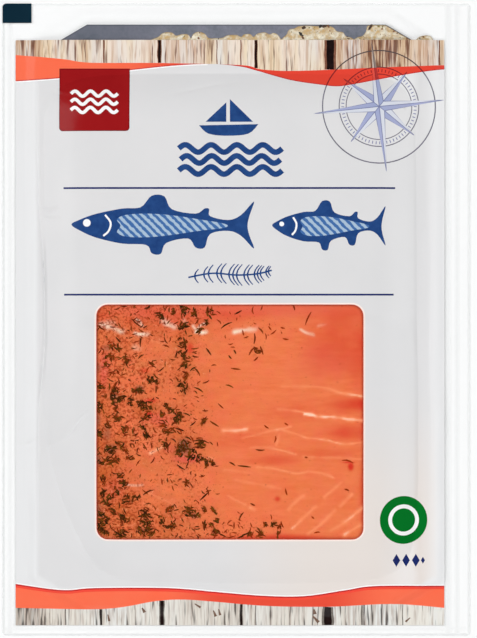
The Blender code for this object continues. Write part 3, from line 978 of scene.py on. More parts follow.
# the lower band's upper rim is printed darker, in two steps
print_field("coral_blush", [strip(CORAL_EDGE_BOTTOM, lowered(CORAL_EDGE_BOTTOM, BLUSH))],
            "red_coral_ink")
print_field("coral_rims", [strip(CORAL_EDGE_BOTTOM, lowered(CORAL_EDGE_BOTTOM, DARK_RIM)),
                           strip(lowered(CORAL_EDGE_TOP, -TOP_DARK_RIM), CORAL_EDGE_TOP)],
            "dark_coral_ink")
print(len(FIELDS), "fields so far")

# %% [markdown]
# The printed planks. The pack shows old boards that stand upright, seen from the front. Their
# grain could be drawn line by line, but a node group does it with stretched noise: broad bands
# first, then finer and darker streaks. Each board shifts the noise, so that no two are alike.
# Only the gaps and the knots are drawn, because their places are part of the design.

# %% Weathered planks
GRAIN_STRETCH = 0.07
MORE_STREAKS = 0.08
AGED = 0.4
# tone, scale of the noise, where it starts and is full, and how strong it then is
GRAIN_LAYERS = (("Cool", 130, 0.48, 0.64, 0.8), ("Straw", 210, 0.50, 0.70, 0.6),
                ("Middle", 700, 0.51, 0.76, 0.6), ("Middle", 1500, 0.53, 0.72, 0.7),
                ("Dark", 1150, 0.60, 0.72, 0.85))
PLANK_TONES = {
    "plank_ink_warm": {"Light": (236, 221, 206), "Cool": (226, 224, 222), "Straw": (232, 210, 168),
                       "Middle": (188, 144, 112), "Dark": (104, 58, 42)},
    "plank_ink_grey": {"Light": (233, 230, 222), "Cool": (232, 234, 232), "Straw": (226, 220, 208),
                       "Middle": (180, 164, 152), "Dark": (58, 50, 46)}}


def plank_grain(tree, given):
    """Weathered wood: broad bands of tone, fine upright streaks and a few dark cracks."""
    moved = add(tree, "VectorMath")
    moved.operation = "MULTIPLY_ADD"
    spread = add(tree, "CombineXYZ", Y=given["Board"]).outputs[0]
    for socket, value in enumerate((given["Place"], (1, GRAIN_STRETCH, 0), spread)):
        plug(moved, socket, value)
    more, aged = (math_node(tree, "MULTIPLY", given["Streaks"], much)
                  for much in (MORE_STREAKS, AGED))
    color = mix_colors(tree, aged, given["Light"], given["Middle"])
    for label, scale, start, full, strength in GRAIN_LAYERS:
        noise = add(tree, "TexNoise", Vector=moved.outputs[0], Scale=scale, Detail=2.0, Roughness=0.5)
        streak = math_node(tree, "ADD", noise.outputs["Fac"], more)
        color = mix_colors(tree, ranged(tree, streak, start, full, high=strength), color, given[label])
    return color


GRAIN = make_group("Plank grain", "Color", plank_grain, Place=(0, 0, 0), Board=0.0, Streaks=0.0,
                   **{label: (1, 1, 1, 1) for label in ("Light", "Cool", "Straw", "Middle", "Dark")})


def make_plank(name, tones):
    def wood(tree):
        paints = {label: looks(*color) for label, color in tones.items()}
        return place_group(tree, GRAIN, Place=object_place(tree), Board=read_value(tree, "plank"),
                           Streaks=read_value(tree, "streaks"), **paints)
    make_finish(name, 1.0, Base_Color=wood, **INK_GLOSS)


for plank_name, plank_tones in PLANK_TONES.items():
    make_plank(plank_name, plank_tones)
print_field("planks_top", [strip(TOP_LINE, PLANK_EDGE_TOP)], "plank_ink_warm")
print_field("planks_bottom", [strip(PLANK_EDGE_BOTTOM, BOTTOM_LINE)], "plank_ink_grey")
print(len(GRAIN_LAYERS), "layers of grain")

# %% Gaps and knots in the planks
# middle and width of each gap, in millimetres
TOP_GAPS = [
    (-44.8, 0.55), (-26, 1.1), (-6.6, 0.3), (1.5, 0.4), (6.6, 0.9), (31.7, 2.9), (68.6, 0.6)]
BOTTOM_GAPS = [
    (-57.8, 0.4), (-45.8, 0.75), (-25.2, 1.35), (1.6, 0.8), (6.5, 0.35), (30.9, 2.8), (42.4, 0.6),
    (56.2, 0.3)]
BLACK_GAP_WIDTH = 0.7
# a wide gap has a black core, with lighter shoulders round it
CORE_WIDTH, SHOULDER_WIDTH = 0.8, 1.3
GAP_OVERLAP = 0.05 * MM
GAP_SWAY = 0.06 * MM
GAP_POINTS = 7
GAP_UNEVEN, GAP_WAVES = 0.25, 900
# small knots and splits in the lower planks: upper end, lower end and width
KNOTS = [
    ((-31.9, -97.4), (-31, -99), 1.1), ((-14.1, -96), (-12.1, -97.3), 0.8),
    ((-7.8, -98.3), (-7, -100.4), 1), ((-6, -97.8), (-5.5, -100), 0.9),
    ((26.2, -97.9), (26.5, -99.6), 1.3), ((25.8, -100.2), (27.8, -102.4), 1.1),
    ((-43.5, -99.7), (-43, -102), 0.8), ((58.8, -100.8), (57.2, -102.2), 0.7)]
KNOT_TAPER = np.array([0.4, 1])


def gap_shapes(gaps, upper, lower):
    """Dark gaps between planks, each a narrow upright field that ends at the strip's edges."""
    shapes = []
    for middle, width in gaps:
        x = middle * MM
        top, bottom = (float(np.interp(x, *zip(*edge))) for edge in (upper, lower))
        ys = np.linspace(top - GAP_OVERLAP, bottom + GAP_OVERLAP, GAP_POINTS)
        widths = width * MM * (1 + GAP_UNEVEN * hills("plank_gap", np.full(GAP_POINTS, x), ys))
        shapes.append([stroke([(x + GAP_SWAY * math.sin(GAP_WAVES * y), y) for y in ys], widths)])
    return shapes


black = []
for side, gaps, upper, lower, shoulder in (
        ("top", TOP_GAPS, TOP_LINE, PLANK_EDGE_TOP, "brown_gap_ink"),
        ("bottom", BOTTOM_GAPS, PLANK_EDGE_BOTTOM, BOTTOM_LINE, "grey_gap_ink")):
    wide = [gap for gap in gaps if gap[1] >= BLACK_GAP_WIDTH]
    thin = [gap for gap in gaps if gap[1] < BLACK_GAP_WIDTH]
    shoulders = thin + [(x, width * SHOULDER_WIDTH) for x, width in wide]
    print_field(f"gap_shoulders_{side}", gap_shapes(shoulders, upper, lower), shoulder)
    black += gap_shapes([(x, width * CORE_WIDTH) for x, width in wide], upper, lower)
print_field("plank_gaps", black, "black_gap_ink")
print_field("plank_knots", [[stroke(in_mm(ends), KNOT_TAPER * width * MM)]
                            for *ends, width in KNOTS], "knot_brown")
print(len(TOP_GAPS) + len(BOTTOM_GAPS), "gaps and", len(KNOTS), "knots")

# %% [markdown]
# The drawn signs. The dark red tag, the rules, the green disc and the compass rose are plain
# shapes, and between them lie small pictures: a boat on waves, two salmon and a sprig of dill.
# A picture file would blur close up, so each is drawn as outlines. The rose is drawn from its
# radii: every point is a kite whose one half is pale and the other dark.

# %% Tag and rules, in millimetres
TAG = {"left": -59.8, "right": -36, "top": 84.8, "bottom": 63.5}
TAG_BEND = 1.2
TAG_EDGE = 0.3
TAG_WAVES = (76.2, 73.4, 70.6)
RULE_WIDTH = 0.62
# left end, right end and height of each rule
RULES = [(-58.3, 53.5, 44.3), (-58.1, 53, 8.4)]


def wave_line(left, right, middle, swing, waves, steps=40):
    """A level line that swings up and down so many times."""
    xs = np.linspace(left, right, steps)
    return [(float(x), middle + swing * math.sin(2 * math.pi * waves * (x - left) / (right - left)))
            for x in xs]


def tag_outline(inset):
    """The tag's outline, or one that lies inside it, with two round corners below."""
    left, low, right, high = grown(TAG, -inset)
    bend = TAG_BEND - inset
    return in_mm(arc((left + bend, low + bend), bend, 180, 270, 4)
                 + arc((right - bend, low + bend), bend, 270, 360, 4) + [(right, high), (left, high)])


print_field("tag", [[tag_outline(0)]], "dark_red_ink")
print_field("tag_edge", [[tag_outline(0), tag_outline(TAG_EDGE)]], "maroon_ink")
print_signs("tag_waves", [stroke(wave_line(-55.8, -40, middle, 0.9, 3), 1.15)
                          for middle in TAG_WAVES], "white_ink")
print_signs("rules", [box(left, y - RULE_WIDTH / 2, right, y + RULE_WIDTH / 2)
                      for left, right, y in RULES], "navy_ink")
print("tag", round(TAG["right"] - TAG["left"], 1), "mm wide")

# %% Boat on waves
hull = through([(-12.6, 65.4), (-9.4, 62.6), (-3, 61.9), (4, 62.6), (7.4, 65.8)], 4)
main_sail = [(-2.2, 74.3), (5.6, 66.6), (-2.2, 66.6)]
fore_sail = [(-3.4, 73.2), (-3.4, 66.6), (-10.4, 66.6)]
# height of each row of waves, and how far it is drawn in at both ends
wave_rows = [(57.6, 0), (53.9, 0.5), (50.2, 0)]
waves = [stroke(wave_line(-19.4 + 1.2 * shift, 15.4 - 1.2 * shift, y, 1.25, 4, 72), 1.9)
         for y, shift in wave_rows]
print_signs("boat_and_waves", [hull, main_sail, fore_sail, *waves], "deep_blue_ink")
print("boat on", len(waves), "waves")

# %% Two salmon, from snout at 0 to tail at 1
SALMON_SIGN = [
    (0, 0.02), (0.05, 0.1), (0.14, 0.19), (0.28, 0.27), (0.38, 0.29), (0.44, 0.47), (0.51, 0.46),
    (0.55, 0.26), (0.68, 0.19), (0.73, 0.27), (0.755, 0.26), (0.76, 0.15), (0.86, 0.09),
    (0.93, 0.17), (1, 0.38), (0.975, 0.15), (0.965, 0), (0.975, -0.15), (1, -0.36), (0.93, -0.16),
    (0.86, -0.08), (0.76, -0.13), (0.73, -0.34), (0.68, -0.34), (0.64, -0.2), (0.52, -0.27),
    (0.49, -0.44), (0.44, -0.43), (0.41, -0.3), (0.28, -0.28), (0.14, -0.19), (0.05, -0.08)]
BODY_SIGN = [
    (0.27, 0), (0.25, 0.1), (0.3, 0.17), (0.42, 0.19), (0.56, 0.16), (0.7, 0.1), (0.84, 0.03),
    (0.84, -0.03), (0.7, -0.08), (0.56, -0.14), (0.42, -0.18), (0.3, -0.17), (0.25, -0.1)]
GILL_SIGN = [(0.185, 0.17), (0.215, 0.05), (0.205, -0.08), (0.175, -0.16)]
GILL_WIDTH = 0.65
# snout, middle line, length and height of each fish in millimetres
SIGN_PLACES = [(-55.6, 31.6, 61.5, 21.5), (12, 31.4, 38.2, 18)]
HATCH_TONES = ((66, 108, 166), (168, 190, 212))
HATCH = {"Scale": 230.0, "Distortion": 1.5, "Detail": 2.0, "Detail_Scale": 3.0}
HATCH_RIM = (0.38, 0.62)


def hatching(tree):
    """Light blue with darker slanting pen strokes, as a woodcut is shaded."""
    waves = add(tree, "TexWave", Vector=object_place(tree), **HATCH)
    waves.bands_direction = "DIAGONAL"
    return mix_colors(tree, ranged(tree, waves.outputs["Fac"], *HATCH_RIM), *HATCH_TONES)


def at_places(spots):
    """A drawing of unit length, once for each fish."""
    return [[(left + x * length, middle + y * height) for x, y in spots]
            for left, middle, length, height in SIGN_PLACES]


make_finish("hatched_blue_ink", 1.0, Base_Color=hatching, **{**INK_GLOSS, "Roughness": 0.32})
eyes = [circle((left + 0.085 * length, middle + 0.045 * height), 0.021 * length, 20)
        for left, middle, length, height in SIGN_PLACES]
gills = [stroke(line, GILL_WIDTH) for line in at_places(through(GILL_SIGN, 5))]
print_signs("salmon_signs", at_places(through(SALMON_SIGN, 4, True)), "deep_blue_ink")
print_signs("salmon_sign_flanks", at_places(through(BODY_SIGN, 4, True)), "hatched_blue_ink")
print_signs("salmon_sign_eyes", eyes + gills, "white_ink")
print(len(SIGN_PLACES), "fish of", len(SALMON_SIGN), "drawn points")

# %% Sprig of dill
LEAF_PAIRS = 15
LEAF_LENGTH = 3.6
STEM_WIDTH = 0.55

stem = through([(-16.2, 14.2), (-8, 15.6), (0, 15), (7, 15.4), (11.9, 16.6)], 6)
leaves = []
for share in np.linspace(0.10, 0.93, LEAF_PAIRS):
    here = np.array(stem[round(share * (len(stem) - 1))])
    reach = LEAF_LENGTH * math.sin(math.pi * (0.15 + 0.75 * share))
    for side in (1, -1):
        tip = here + np.array([0.55 * reach, side * reach])
        bow = (here + tip) / 2 + np.array([-0.12 * reach, 0])
        leaf = through([tuple(here), tuple(bow), tuple(tip)], 4)
        leaves.append(stroke(leaf, np.linspace(0.6, 0.3, len(leaf))))
print_signs("sprig", [stroke(stem, STEM_WIDTH), *leaves], "deep_blue_ink")
print(len(leaves), "leaves on the sprig")

# %% Disc and row of diamonds
DISC_CENTRE = (56.4 * MM, -67.6 * MM)
DIAMOND_ROW = -81.3
# middle and half width of each diamond
DIAMONDS = [(54, 1.3), (57.3, 1.3), (60.6, 1.3), (63, 0.7)]

print_field("disc", [[circle(DISC_CENTRE, 8.1 * MM, 64)]], "green_ink")
print_field("disc_ring", [ring(DISC_CENTRE, 4.6 * MM, 1.3 * MM)], "white_ink")
print_signs("diamonds", [[(x - half, DIAMOND_ROW), (x, DIAMOND_ROW - 1.7 * half),
                          (x + half, DIAMOND_ROW), (x, DIAMOND_ROW + 1.7 * half)]
                         for x, half in DIAMONDS], "navy_ink")
print("a disc and", len(DIAMONDS), "diamonds")

# %% Compass rose
COMPASS_CENTRE = (48.1 * MM, 71.8 * MM)
COMPASS_TURN = 6.3
OUTLINE_WIDTH = 0.26 * MM
RINGS = [(19.1, 0.40), (13.5, 0.34), (11.15, 0.30)]
TICKS = {"count": 64, "inner": 11.8 * MM, "outer": 12.8 * MM, "width": 0.30 * MM}
# each kind of point: how far it reaches, where its waist is, and its first direction
POINTS = {"short": (15.4 * MM, 2.9 * MM, 45), "long": (22.2 * MM, 2.3 * MM, 0)}


def from_centre(radius, degrees):
    angle = math.radians(degrees + COMPASS_TURN)
    return (COMPASS_CENTRE[0] + radius * math.cos(angle), COMPASS_CENTRE[1] + radius * math.sin(angle))


def half_points(reach, waist, first, side):
    """One half of each of four kites: centre, tip and the waist on one side."""
    return [[[COMPASS_CENTRE, from_centre(reach, turn), from_centre(waist, turn + side * 45)]]
            for turn in range(first, first + 360, 90)]


ticks = [[stroke([from_centre(TICKS[end], 360 * tick / TICKS["count"]) for end in ("inner", "outer")],
                 TICKS["width"])] for tick in range(TICKS["count"])]
print_field("compass_rings", [ring(COMPASS_CENTRE, radius * MM, width * MM)
                              for radius, width in RINGS], "compass_ring_ink")
print_field("compass_ticks", ticks, "compass_line_ink")
for kind, (reach, waist, first) in POINTS.items():
    pale, dark = (half_points(reach, waist, first, side) for side in (1, -1))
    outlines = [[stroke(loop + loop[:1], OUTLINE_WIDTH)] for [loop] in pale + dark]
    print_field(f"compass_{kind}_pale", pale, "compass_pale_ink")
    print_field(f"compass_{kind}_dark", dark, "compass_blue_ink")
    print_field(f"compass_{kind}_lines", outlines, "compass_line_ink")
print("compass rose,", round(2 * POINTS["long"][0] / MM, 1), "mm across")

# %% Window rim, painted shadow just inside the window, and eye mark
BORDER = 0.55 * MM
# width of the painted shadow just inside the window
EDGE_SHADOW_WIDTH = 0.28 * MM
EYE_MARK = (-79.1, 100.3, -69.3, 106.9)


def grown_window(grow):
    return rounded_box(*grown(WINDOW, grow), WINDOW_CORNER + grow)


print_field("window_rim", [[grown_window(BORDER), OPENING]], "window_rim_ink")
# a dark ring just inside the window: painted shadow of the print's edge on the fish
print_field("window_edge_shadow", [[OPENING, grown_window(-EDGE_SHADOW_WIDTH)]], "window_edge_shadow_ink")
print_signs("eye_mark", [box(*EYE_MARK)], "eye_mark_ink")
print(len(FIELDS), "fields in all")

# %% Cut the net along every field and print the inks
PRINT_LIFT = 0.03 * MM
PRINT_THICKNESS = 0.02 * MM
PRINT_SPACING = 1.2 * MM


def in_shape(loops, x, y):
    """Even-odd: inside an odd number of the outlines."""
    found = np.zeros(x.shape, bool)
    for loop in loops:
        found ^= inside(loop, x, y)
    return found


def print_top(x, y):
    return film_top(x, y) + PRINT_LIFT


def print_under(x, y):
    return print_top(x, y) - PRINT_THICKNESS


def print_all():
    """One sheet for each field, from the triangles that no later field covers."""
    outlines = [loop for _, shapes, _ in FIELDS for shape in shapes for loop in shape]
    places, triangles = make_net(POUCH, LATTICE, outlines, PRINT_SPACING)
    middles = places[triangles].mean(axis=1)
    owner = np.full(len(triangles), -1)
    for number, (_, shapes, _) in enumerate(FIELDS):
        for shape in shapes:
            spots = np.array([s for loop in shape for s in loop])
            low, high = spots.min(axis=0), spots.max(axis=0)
            near = np.flatnonzero(((middles >= low) & (middles <= high)).all(axis=1))
            found = in_shape(shape, middles[near, 0], middles[near, 1])
            owner[near[found]] = number
    pieces = {}
    for number, (name, _, ink) in enumerate(FIELDS):
        if (owner == number).any():
            pieces[name] = make_sheet(f"print_{name}", (places, triangles[owner == number]),
                                      print_top, print_under, bpy.data.materials[ink])
    return pieces


PRINTED = print_all()

# %% [markdown]
# Print on a clear film shows what lies behind it: white ink is greyer over the dark board, and
# the rose's lines change where they cross the coral band and the planks. Each piece holds such
# facts as numbers at its points or faces. A picture could hold them too, but numbers follow the
# mesh, need no unwrapping and stay as sharp as the outlines.

# %% Soft patches, and how the paper and the coral vary
def zones(spots, x, y):
    """Soft round patches, each with a middle, a reach along x and y, and a strength."""
    share = np.zeros(np.shape(x))
    for cx, cy, reach_x, reach_y, strength in spots:
        across, along = (x / MM - cx) / reach_x, (y / MM - cy) / reach_y
        share = np.maximum(share, strength * np.exp(-(across ** 2 + along ** 2) ** 1.4))
    return share


def backed_and_painted_shade(x, y):
    """Where the paper is greyer: over the board, and, as painted shade, a little along its left edge."""
    return np.maximum(ease(depth_in(BOARD, x, y), -2.2 * MM, 0.4 * MM),
                      0.35 * ease(-x, 67 * MM, 69 * MM))


def lift(x, y):
    """Painted light: the paper made lighter where the lamps leave it in shade, along the bend at the
    right and beyond it.
    """
    return (0.42 * ease(x, 46 * MM, 58 * MM) * (1 - ease(x, 59.2 * MM, 61.2 * MM))
            + 0.5 * ease(x, 62.4 * MM, 67 * MM))


def warm(x, y):
    """Where a little of the fish's colour comes through, at the lower right."""
    return 0.8 * ease(x, -10 * MM, 30 * MM) * ease(-y, 20 * MM, 70 * MM)


def redder(x, y):
    """Where the coral bands turn red: right of the top band's thin place, and mid bottom."""
    top = ease(x, -45 * MM, THIN_PLACE)
    bottom = 0.8 * ease(x, -25 * MM, -4 * MM) * (1 - ease(x, 30 * MM, 52 * MM))
    return np.where(y > 0, top, bottom)


def on_field(name):
    """A rule that tells whether a point lies on an earlier field."""
    shapes = next(shapes for label, shapes, _ in FIELDS if label == name)
    return lambda x, y: np.any([in_shape(shape, x, y) for shape in shapes], axis=0)


# %% Values on the printed pieces
# where the wood is more streaked: middle x, reach along x, and how much
STREAKY = {"planks_top": [(-71, 6, 1.6), (-51, 6, 0.6), (-17, 10, 0.55), (39, 7, 1.3), (49, 9, 2.1),
                          (62, 6, 0.6)],
           "planks_bottom": [(-71, 9, 1.7), (-40, 30, 0.35), (0, 30, 0.5), (42, 12, 0.7)]}
# from one board to the next the grain's noise jumps by this much
PLANK_SHIFT = 0.37

# these carry the paper's painted shade at the left and painted light at the right
for rule in (backed_and_painted_shade, lift, warm):
    values_by_place(PRINTED["paper"], rule.__name__, "POINT", rule)
values_by_place(PRINTED["coral_bands"], "redder", "POINT", redder)
for name, piece in PRINTED.items():
    if name.startswith("compass"):
        values_by_place(piece, "on_coral", "FACE", on_field("coral_bands"))
        values_by_place(piece, "on_planks", "FACE", on_field("planks_top"))
for name, gaps in (("planks_top", TOP_GAPS), ("planks_bottom", BOTTOM_GAPS)):
    between = [middle * MM for middle, _ in gaps]
    streaks = [(x, 0, reach, 1, strength) for x, reach, strength in STREAKY[name]]
    values_by_place(PRINTED[name], "plank", "FACE",
                    lambda x, y: PLANK_SHIFT * np.searchsorted(between, x) + 0.1)
    values_by_place(PRINTED[name], "streaks", "FACE", lambda x, y: zones(streaks, x, 0 * y))
print("values on", len(PRINTED), "printed pieces")

# %% [markdown]
# The slices. Cold-cured salmon is wet, dense and a little translucent: bright orange flesh in
# long flakes with pale fat between them. The fat lines are listed curves, and a value at
# each point of the mesh says how near a line is. It sinks a shallow groove and tells the shader
# where to turn pale. Other values, from soft round zones, make the flesh redder at the right,
# pinker at the top, and stained and dusty where the dill lies.

# %% Fat lines: points in millimetres, width, and strength at the first and the last point
FAT_LINES = [
    ([(15.3, -22.5), (26.3, -22.6), (30.9, -23.2), (33.9, -24.4), (37.7, -25.1),
      (42.3, -25.8)], 0.5, 0.25, 0.95),
    ([(14, -30.2), (19.1, -30.6), (22.9, -31.3)], 0.4, 0.35, 0.75),
    ([(22.9, -31.7), (28.4, -32.7), (33, -32.9), (37.7, -33.5), (43, -34)], 0.55, 1.25, 0.95),
    ([(-4.4, -37.3), (-0.5, -37.4), (3.4, -36.9)], 0.66, 1.05, 0.85),
    ([(2.2, -39.9), (7.7, -38.6), (11.5, -37.5), (15.7, -36.7), (18.3, -36)], 0.36, 0.4, 0.75),
    ([(15.3, -37.1), (19.1, -38.2), (23.3, -39.7), (27.5, -40.2), (31.5, -40.8)], 0.36, 0.55, 0.95),
    ([(31.5, -40.9), (34.5, -41.7), (37.7, -41.9), (42.5, -41.3)], 0.36, 0.9, 0.5),
    ([(14.4, -39), (13.4, -42.4)], 0.34, 0.6, 0.4),
    ([(4.7, -43.2), (9.8, -43), (15.3, -44.1), (19.9, -45.4)], 0.42, 0.35, 0.8),
    ([(22.5, -46.2), (27.5, -46.4), (35.1, -46.6), (41.9, -47)], 0.38, 0.3, 0.5),
    ([(6.8, -49.6), (12.3, -50.2), (17, -51.2), (20.2, -51.9), (24, -51.2)], 0.36, 0.5, 0.65),
    ([(24, -51.2), (28.5, -51.7), (32.6, -53.2)], 0.42, 0.4, 0.6),
    ([(-0.3, -54.2), (4.7, -54.9), (9.8, -55.9), (14.9, -57)], 0.5, 0.3, 0.45),
    ([(-2.9, -59.3), (0.1, -61), (3, -62.2)], 0.45, 0.35, 0.6),
    ([(4.8, -63.3), (6.2, -63.9)], 0.6, 0.7, 0.5),
    ([(18.7, -70.3), (20.8, -68.6), (24.2, -65.2), (26.7, -63.1)], 0.6, 0.8, 0.5),
    ([(29.6, -59.7), (32.2, -57.6), (35.1, -55.1)], 0.55, 0.7, 0.5),
    ([(17.4, -63.9), (20.8, -60.6), (22.5, -59.3)], 0.6, 0.4, 0.8),
    ([(24.2, -72), (28.4, -69), (33, -64.4)], 0.6, 0.7, 0.5),
    ([(31.8, -71.1), (37.2, -67.7), (42.3, -63.5)], 0.65, 0.6, 0.8),
    ([(35.1, -62.7), (38.9, -58.9)], 0.6, 0.6, 0.6),
    ([(36.4, -72.4), (41.5, -69.4)], 0.65, 0.8, 0.6),
    ([(5, -52), (0.5, -51), (-4, -50.6)], 0.4, 0.25, 0.3),
    ([(-9.5, -46.6), (-7.6, -46.8)], 0.5, 0.8, 0.4),
    ([(-29, -45), (-26.8, -43.9), (-24.7, -42.8)], 0.5, 0.9, 0.7),
    ([(-31, -58), (-25.5, -60.2), (-20.5, -62.8)], 0.4, 0.5, 0.3),
    ([(-31, -62), (-26, -64.5)], 0.4, 0.4, 0.3), ([(-24, -8.6), (-28.5, -7)], 0.35, 0.4, 0.7)]
# whitish gleams along the line where the slices meet, as lines like the fat
GLARES = [
    ([(-45.2, -1.6), (-42, -2.6), (-38.9, -3.9)], 0.85, 0.75, 0.7),
    ([(-43.5, -1), (-41.5, -1.4)], 0.7, 0.55, 0.3),
    ([(-33.4, -0.2), (-32.4, -1), (-31.6, -2)], 0.42, 1.2, 0.9),
    ([(-34, -4.6), (-32, -4.9), (-30, -4.9)], 0.5, 1.2, 0.9),
    ([(-34, -9.5), (-32.5, -9.9)], 0.9, 0.4, 0.2),
    ([(-24.6, -0.6), (-22.8, -1.8), (-21, -2.6)], 0.8, 0.9, 0.6),
    ([(-14.6, -2.2), (-13.4, -3.5), (-11.5, -4.4), (-10.2, -4.2)], 0.55, 1, 0.9),
    ([(-13.8, -4.2), (-12.4, -2.2), (-10.8, -1.4)], 0.4, 0.8, 0.6),
    ([(-0.6, -4.2), (2.2, -3.6), (6.2, -3.3)], 0.75, 1, 0.5),
    ([(21.6, -3.3), (23.4, -4.4), (26, -5.1)], 0.45, 0.6, 0.5),
    ([(27.6, -2.1), (30.2, -1.6)], 0.4, 0.25, 0.1),
    ([(-36.6, -55.7), (-34, -55.9), (-31.6, -55.7)], 0.32, 0.5, 0.4),
    ([(-16.9, -1.2), (-17.6, -0.2)], 0.5, 0.35, 0.3)]

print(len(FAT_LINES), "fat lines and", len(GLARES), "gleams")

# %% Soft zones of colour: middle x and y, reach along x and y, strength
RED_ZONES = [
    (43.5, -10, 7.5, 13, 0.75), (38, -7, 14, 11, 0.5), (41, -28.6, 11, 2.7, 0.85),
    (41, -37.8, 11, 2.9, 0.65), (44, -36, 2.6, 5, 0.95), (38, 0.5, 12, 5.2, 0.45),
    (38.5, -49.6, 0.9, 1.3, 1.6), (13.8, -60.4, 1, 0.9, 1.1), (-24, 0, 20, 4, 0.3),
    (-29, -27.3, 2.2, 0.8, 0.9), (-29.5, -31.8, 1.2, 0.8, 0.9), (37.7, -48.1, 2, 0.35, 1.1),
    (-31, -17.2, 1.6, 1, 0.7), (-15.5, -9.6, 1.2, 1.8, 0.7), (14, -73.6, 22, 1.3, 0.7),
    (42.8, -60, 1.4, 16, 0.5), (-45, 0.5, 4, 3, 0.4), (20, -31.5, 12, 3.2, 0.25),
    (2, -41, 8, 3.5, 0.3), (12, -47.3, 9, 1.6, 0.4), (31, -45, 10, 1.8, 0.3),
    (-4, 1.5, 12, 2.5, 0.35)]
PINK_ZONES = [
    (-12, 3.6, 40, 3.2, 0.5), (30, -14, 9, 6, 0.45), (12, 3.6, 34, 3, 0.6),
    (-44.6, -17, 1.8, 7, 0.8), (-26, -33.5, 5, 2.4, 0.6), (-16.5, -46.8, 4.5, 1.6, 0.9),
    (-41, -57, 3.5, 4.5, 0.4), (-22.5, -43.6, 2.2, 1.6, 0.5)]
BROWN_ZONES = [
    (-44, -60, 10, 18, 0.75), (-46.5, -36, 5, 26, 0.6), (-41, -44, 6, 6, 0.5),
    (-30, -69, 16, 6, 0.45), (-38, -4, 14, 9, 0.25), (-18, -12, 4, 22, 0.25),
    (-30, -30, 14, 5, 0.35), (-18, -42, 8, 6, 0.4), (-46.5, 4, 3.5, 2.6, 0.7)]
# stains, and at x -46.6 painted shade along the window's left edge
STAINS_AND_EDGE_SHADE = [
    (-46.6, -16, 1, 1.6, 0.5), (-46.6, -34, 1, 2.4, 0.6), (-46.6, -47, 1.2, 2, 0.6),
    (-46.6, -64, 1.2, 2.4, 0.6), (-17.6, -42.8, 2.3, 2.6, 0.9), (-42.3, -43.6, 2, 1.8, 0.7),
    (-32.6, -23.2, 1.6, 1.1, 0.7), (-43.5, -38.5, 1.4, 2.6, 0.5), (-31.5, -71, 1.8, 1, 0.5),
    (-14.2, -66.2, 1.4, 1, 0.6), (-43.6, -9.6, 1.6, 1, 0.5), (-41, -25.6, 1.4, 1.6, 0.6)]
# where dill lies besides its main places, and where there is less of it
SPECKLED = [(12, -3, 9, 3.4, 0.34)]
CALM_ZONES = [
    (-31, -50, 8, 4.5, 0.75), (-25, -59, 8, 4, 0.65), (-27, -10.5, 9, 3.5, 0.45),
    (-24, -25, 4, 3, 0.3), (-8, -22, 6, 14, 0.7), (-6, -34, 4, 6, 0.6)]
print(len(RED_ZONES + PINK_ZONES + BROWN_ZONES + STAINS_AND_EDGE_SHADE), "zones of colour")


# %% Lines of fat and places of dill
RAGGED_RIM = 0.45
RAGGED_STRENGTH = (0.85, 0.35)
CURVE_STEPS = 5


def ragged_lines(lines, x, y):
    """Soft lines with uneven rims, whose strength runs from a first to a last value."""
    ragged = 1 + RAGGED_RIM * hills("line_rim", x, y)
    share = np.zeros(np.shape(x))
    for line, width, first, last in lines:
        gap, along = gap_and_share(through(in_mm(line), CURVE_STEPS), x, y)
        strength = first + (last - first) * along
        share = np.maximum(share, strength * np.exp(-(gap / (width * MM * ragged)) ** 2))
    return share * (RAGGED_STRENGTH[0] + RAGGED_STRENGTH[1] * hills("line_strength", x, y))


def fat_share(x, y):
    """1 in the middle of a fat line, 0 well away from all of them."""
    return ragged_lines(FAT_LINES, x, y)


def dill_density(x, y):
    """How thickly dill and its dust lie: most at the left, thinning to the middle."""
    calm = 1 - zones(CALM_ZONES, x, y)
    speckled = zones(SPECKLED, x, y)
    x, y = x / MM, y / MM
    left = ease(-x, 2, 17) * (0.72 + 0.28 * ease(-x, 17, 40))
    low = 0.8 * ease(-y, 62, 73) * ease(-x, -24, 2)
    upper = 0.3 * ease(y, -14, -2) * ease(-x, -19, 5)
    return np.maximum.reduce([left, low, upper, speckled]) * calm


# %% The salmon's upper face
SALMON_UNDER_FILM = 0.45 * MM
FLAKE_PITCH = 10.5 * MM
FLAKE_HEIGHT = 0.07 * MM
# the flakes' lines slant and bend about this x
FLAKE_MIDDLE, FLAKE_SLANT, FLAKE_BEND = 0.02, 0.22, 2.2
# round the window's edge the relief comes in between these
SHOW_FROM, SHOW_TO = -1 * MM, 2 * MM
FAT_GROOVE = 0.10 * MM
GRAIN_HEIGHT = 0.035 * MM
SWELL_HEIGHT = 0.05 * MM


def salmon_face(x, y):
    """Just under the film, with flakes in long waves, grooves at the fat and a fine grain."""
    show = ease(depth_in(OPENING, x, y), SHOW_FROM, SHOW_TO)
    aside = x - FLAKE_MIDDLE
    slant = y + FLAKE_SLANT * aside - FLAKE_BEND * aside ** 2
    flakes = FLAKE_HEIGHT * (np.sin(2 * math.pi * slant / FLAKE_PITCH) - 1)
    groove = -FAT_GROOVE * np.clip(fat_share(x, y), 0, 1)
    grain = GRAIN_HEIGHT * hills("flesh_grain", x, y) + SWELL_HEIGHT * hills("flesh_swell", x, y)
    return film_top(x, y) - SALMON_UNDER_FILM + show * (flakes + groove + grain)


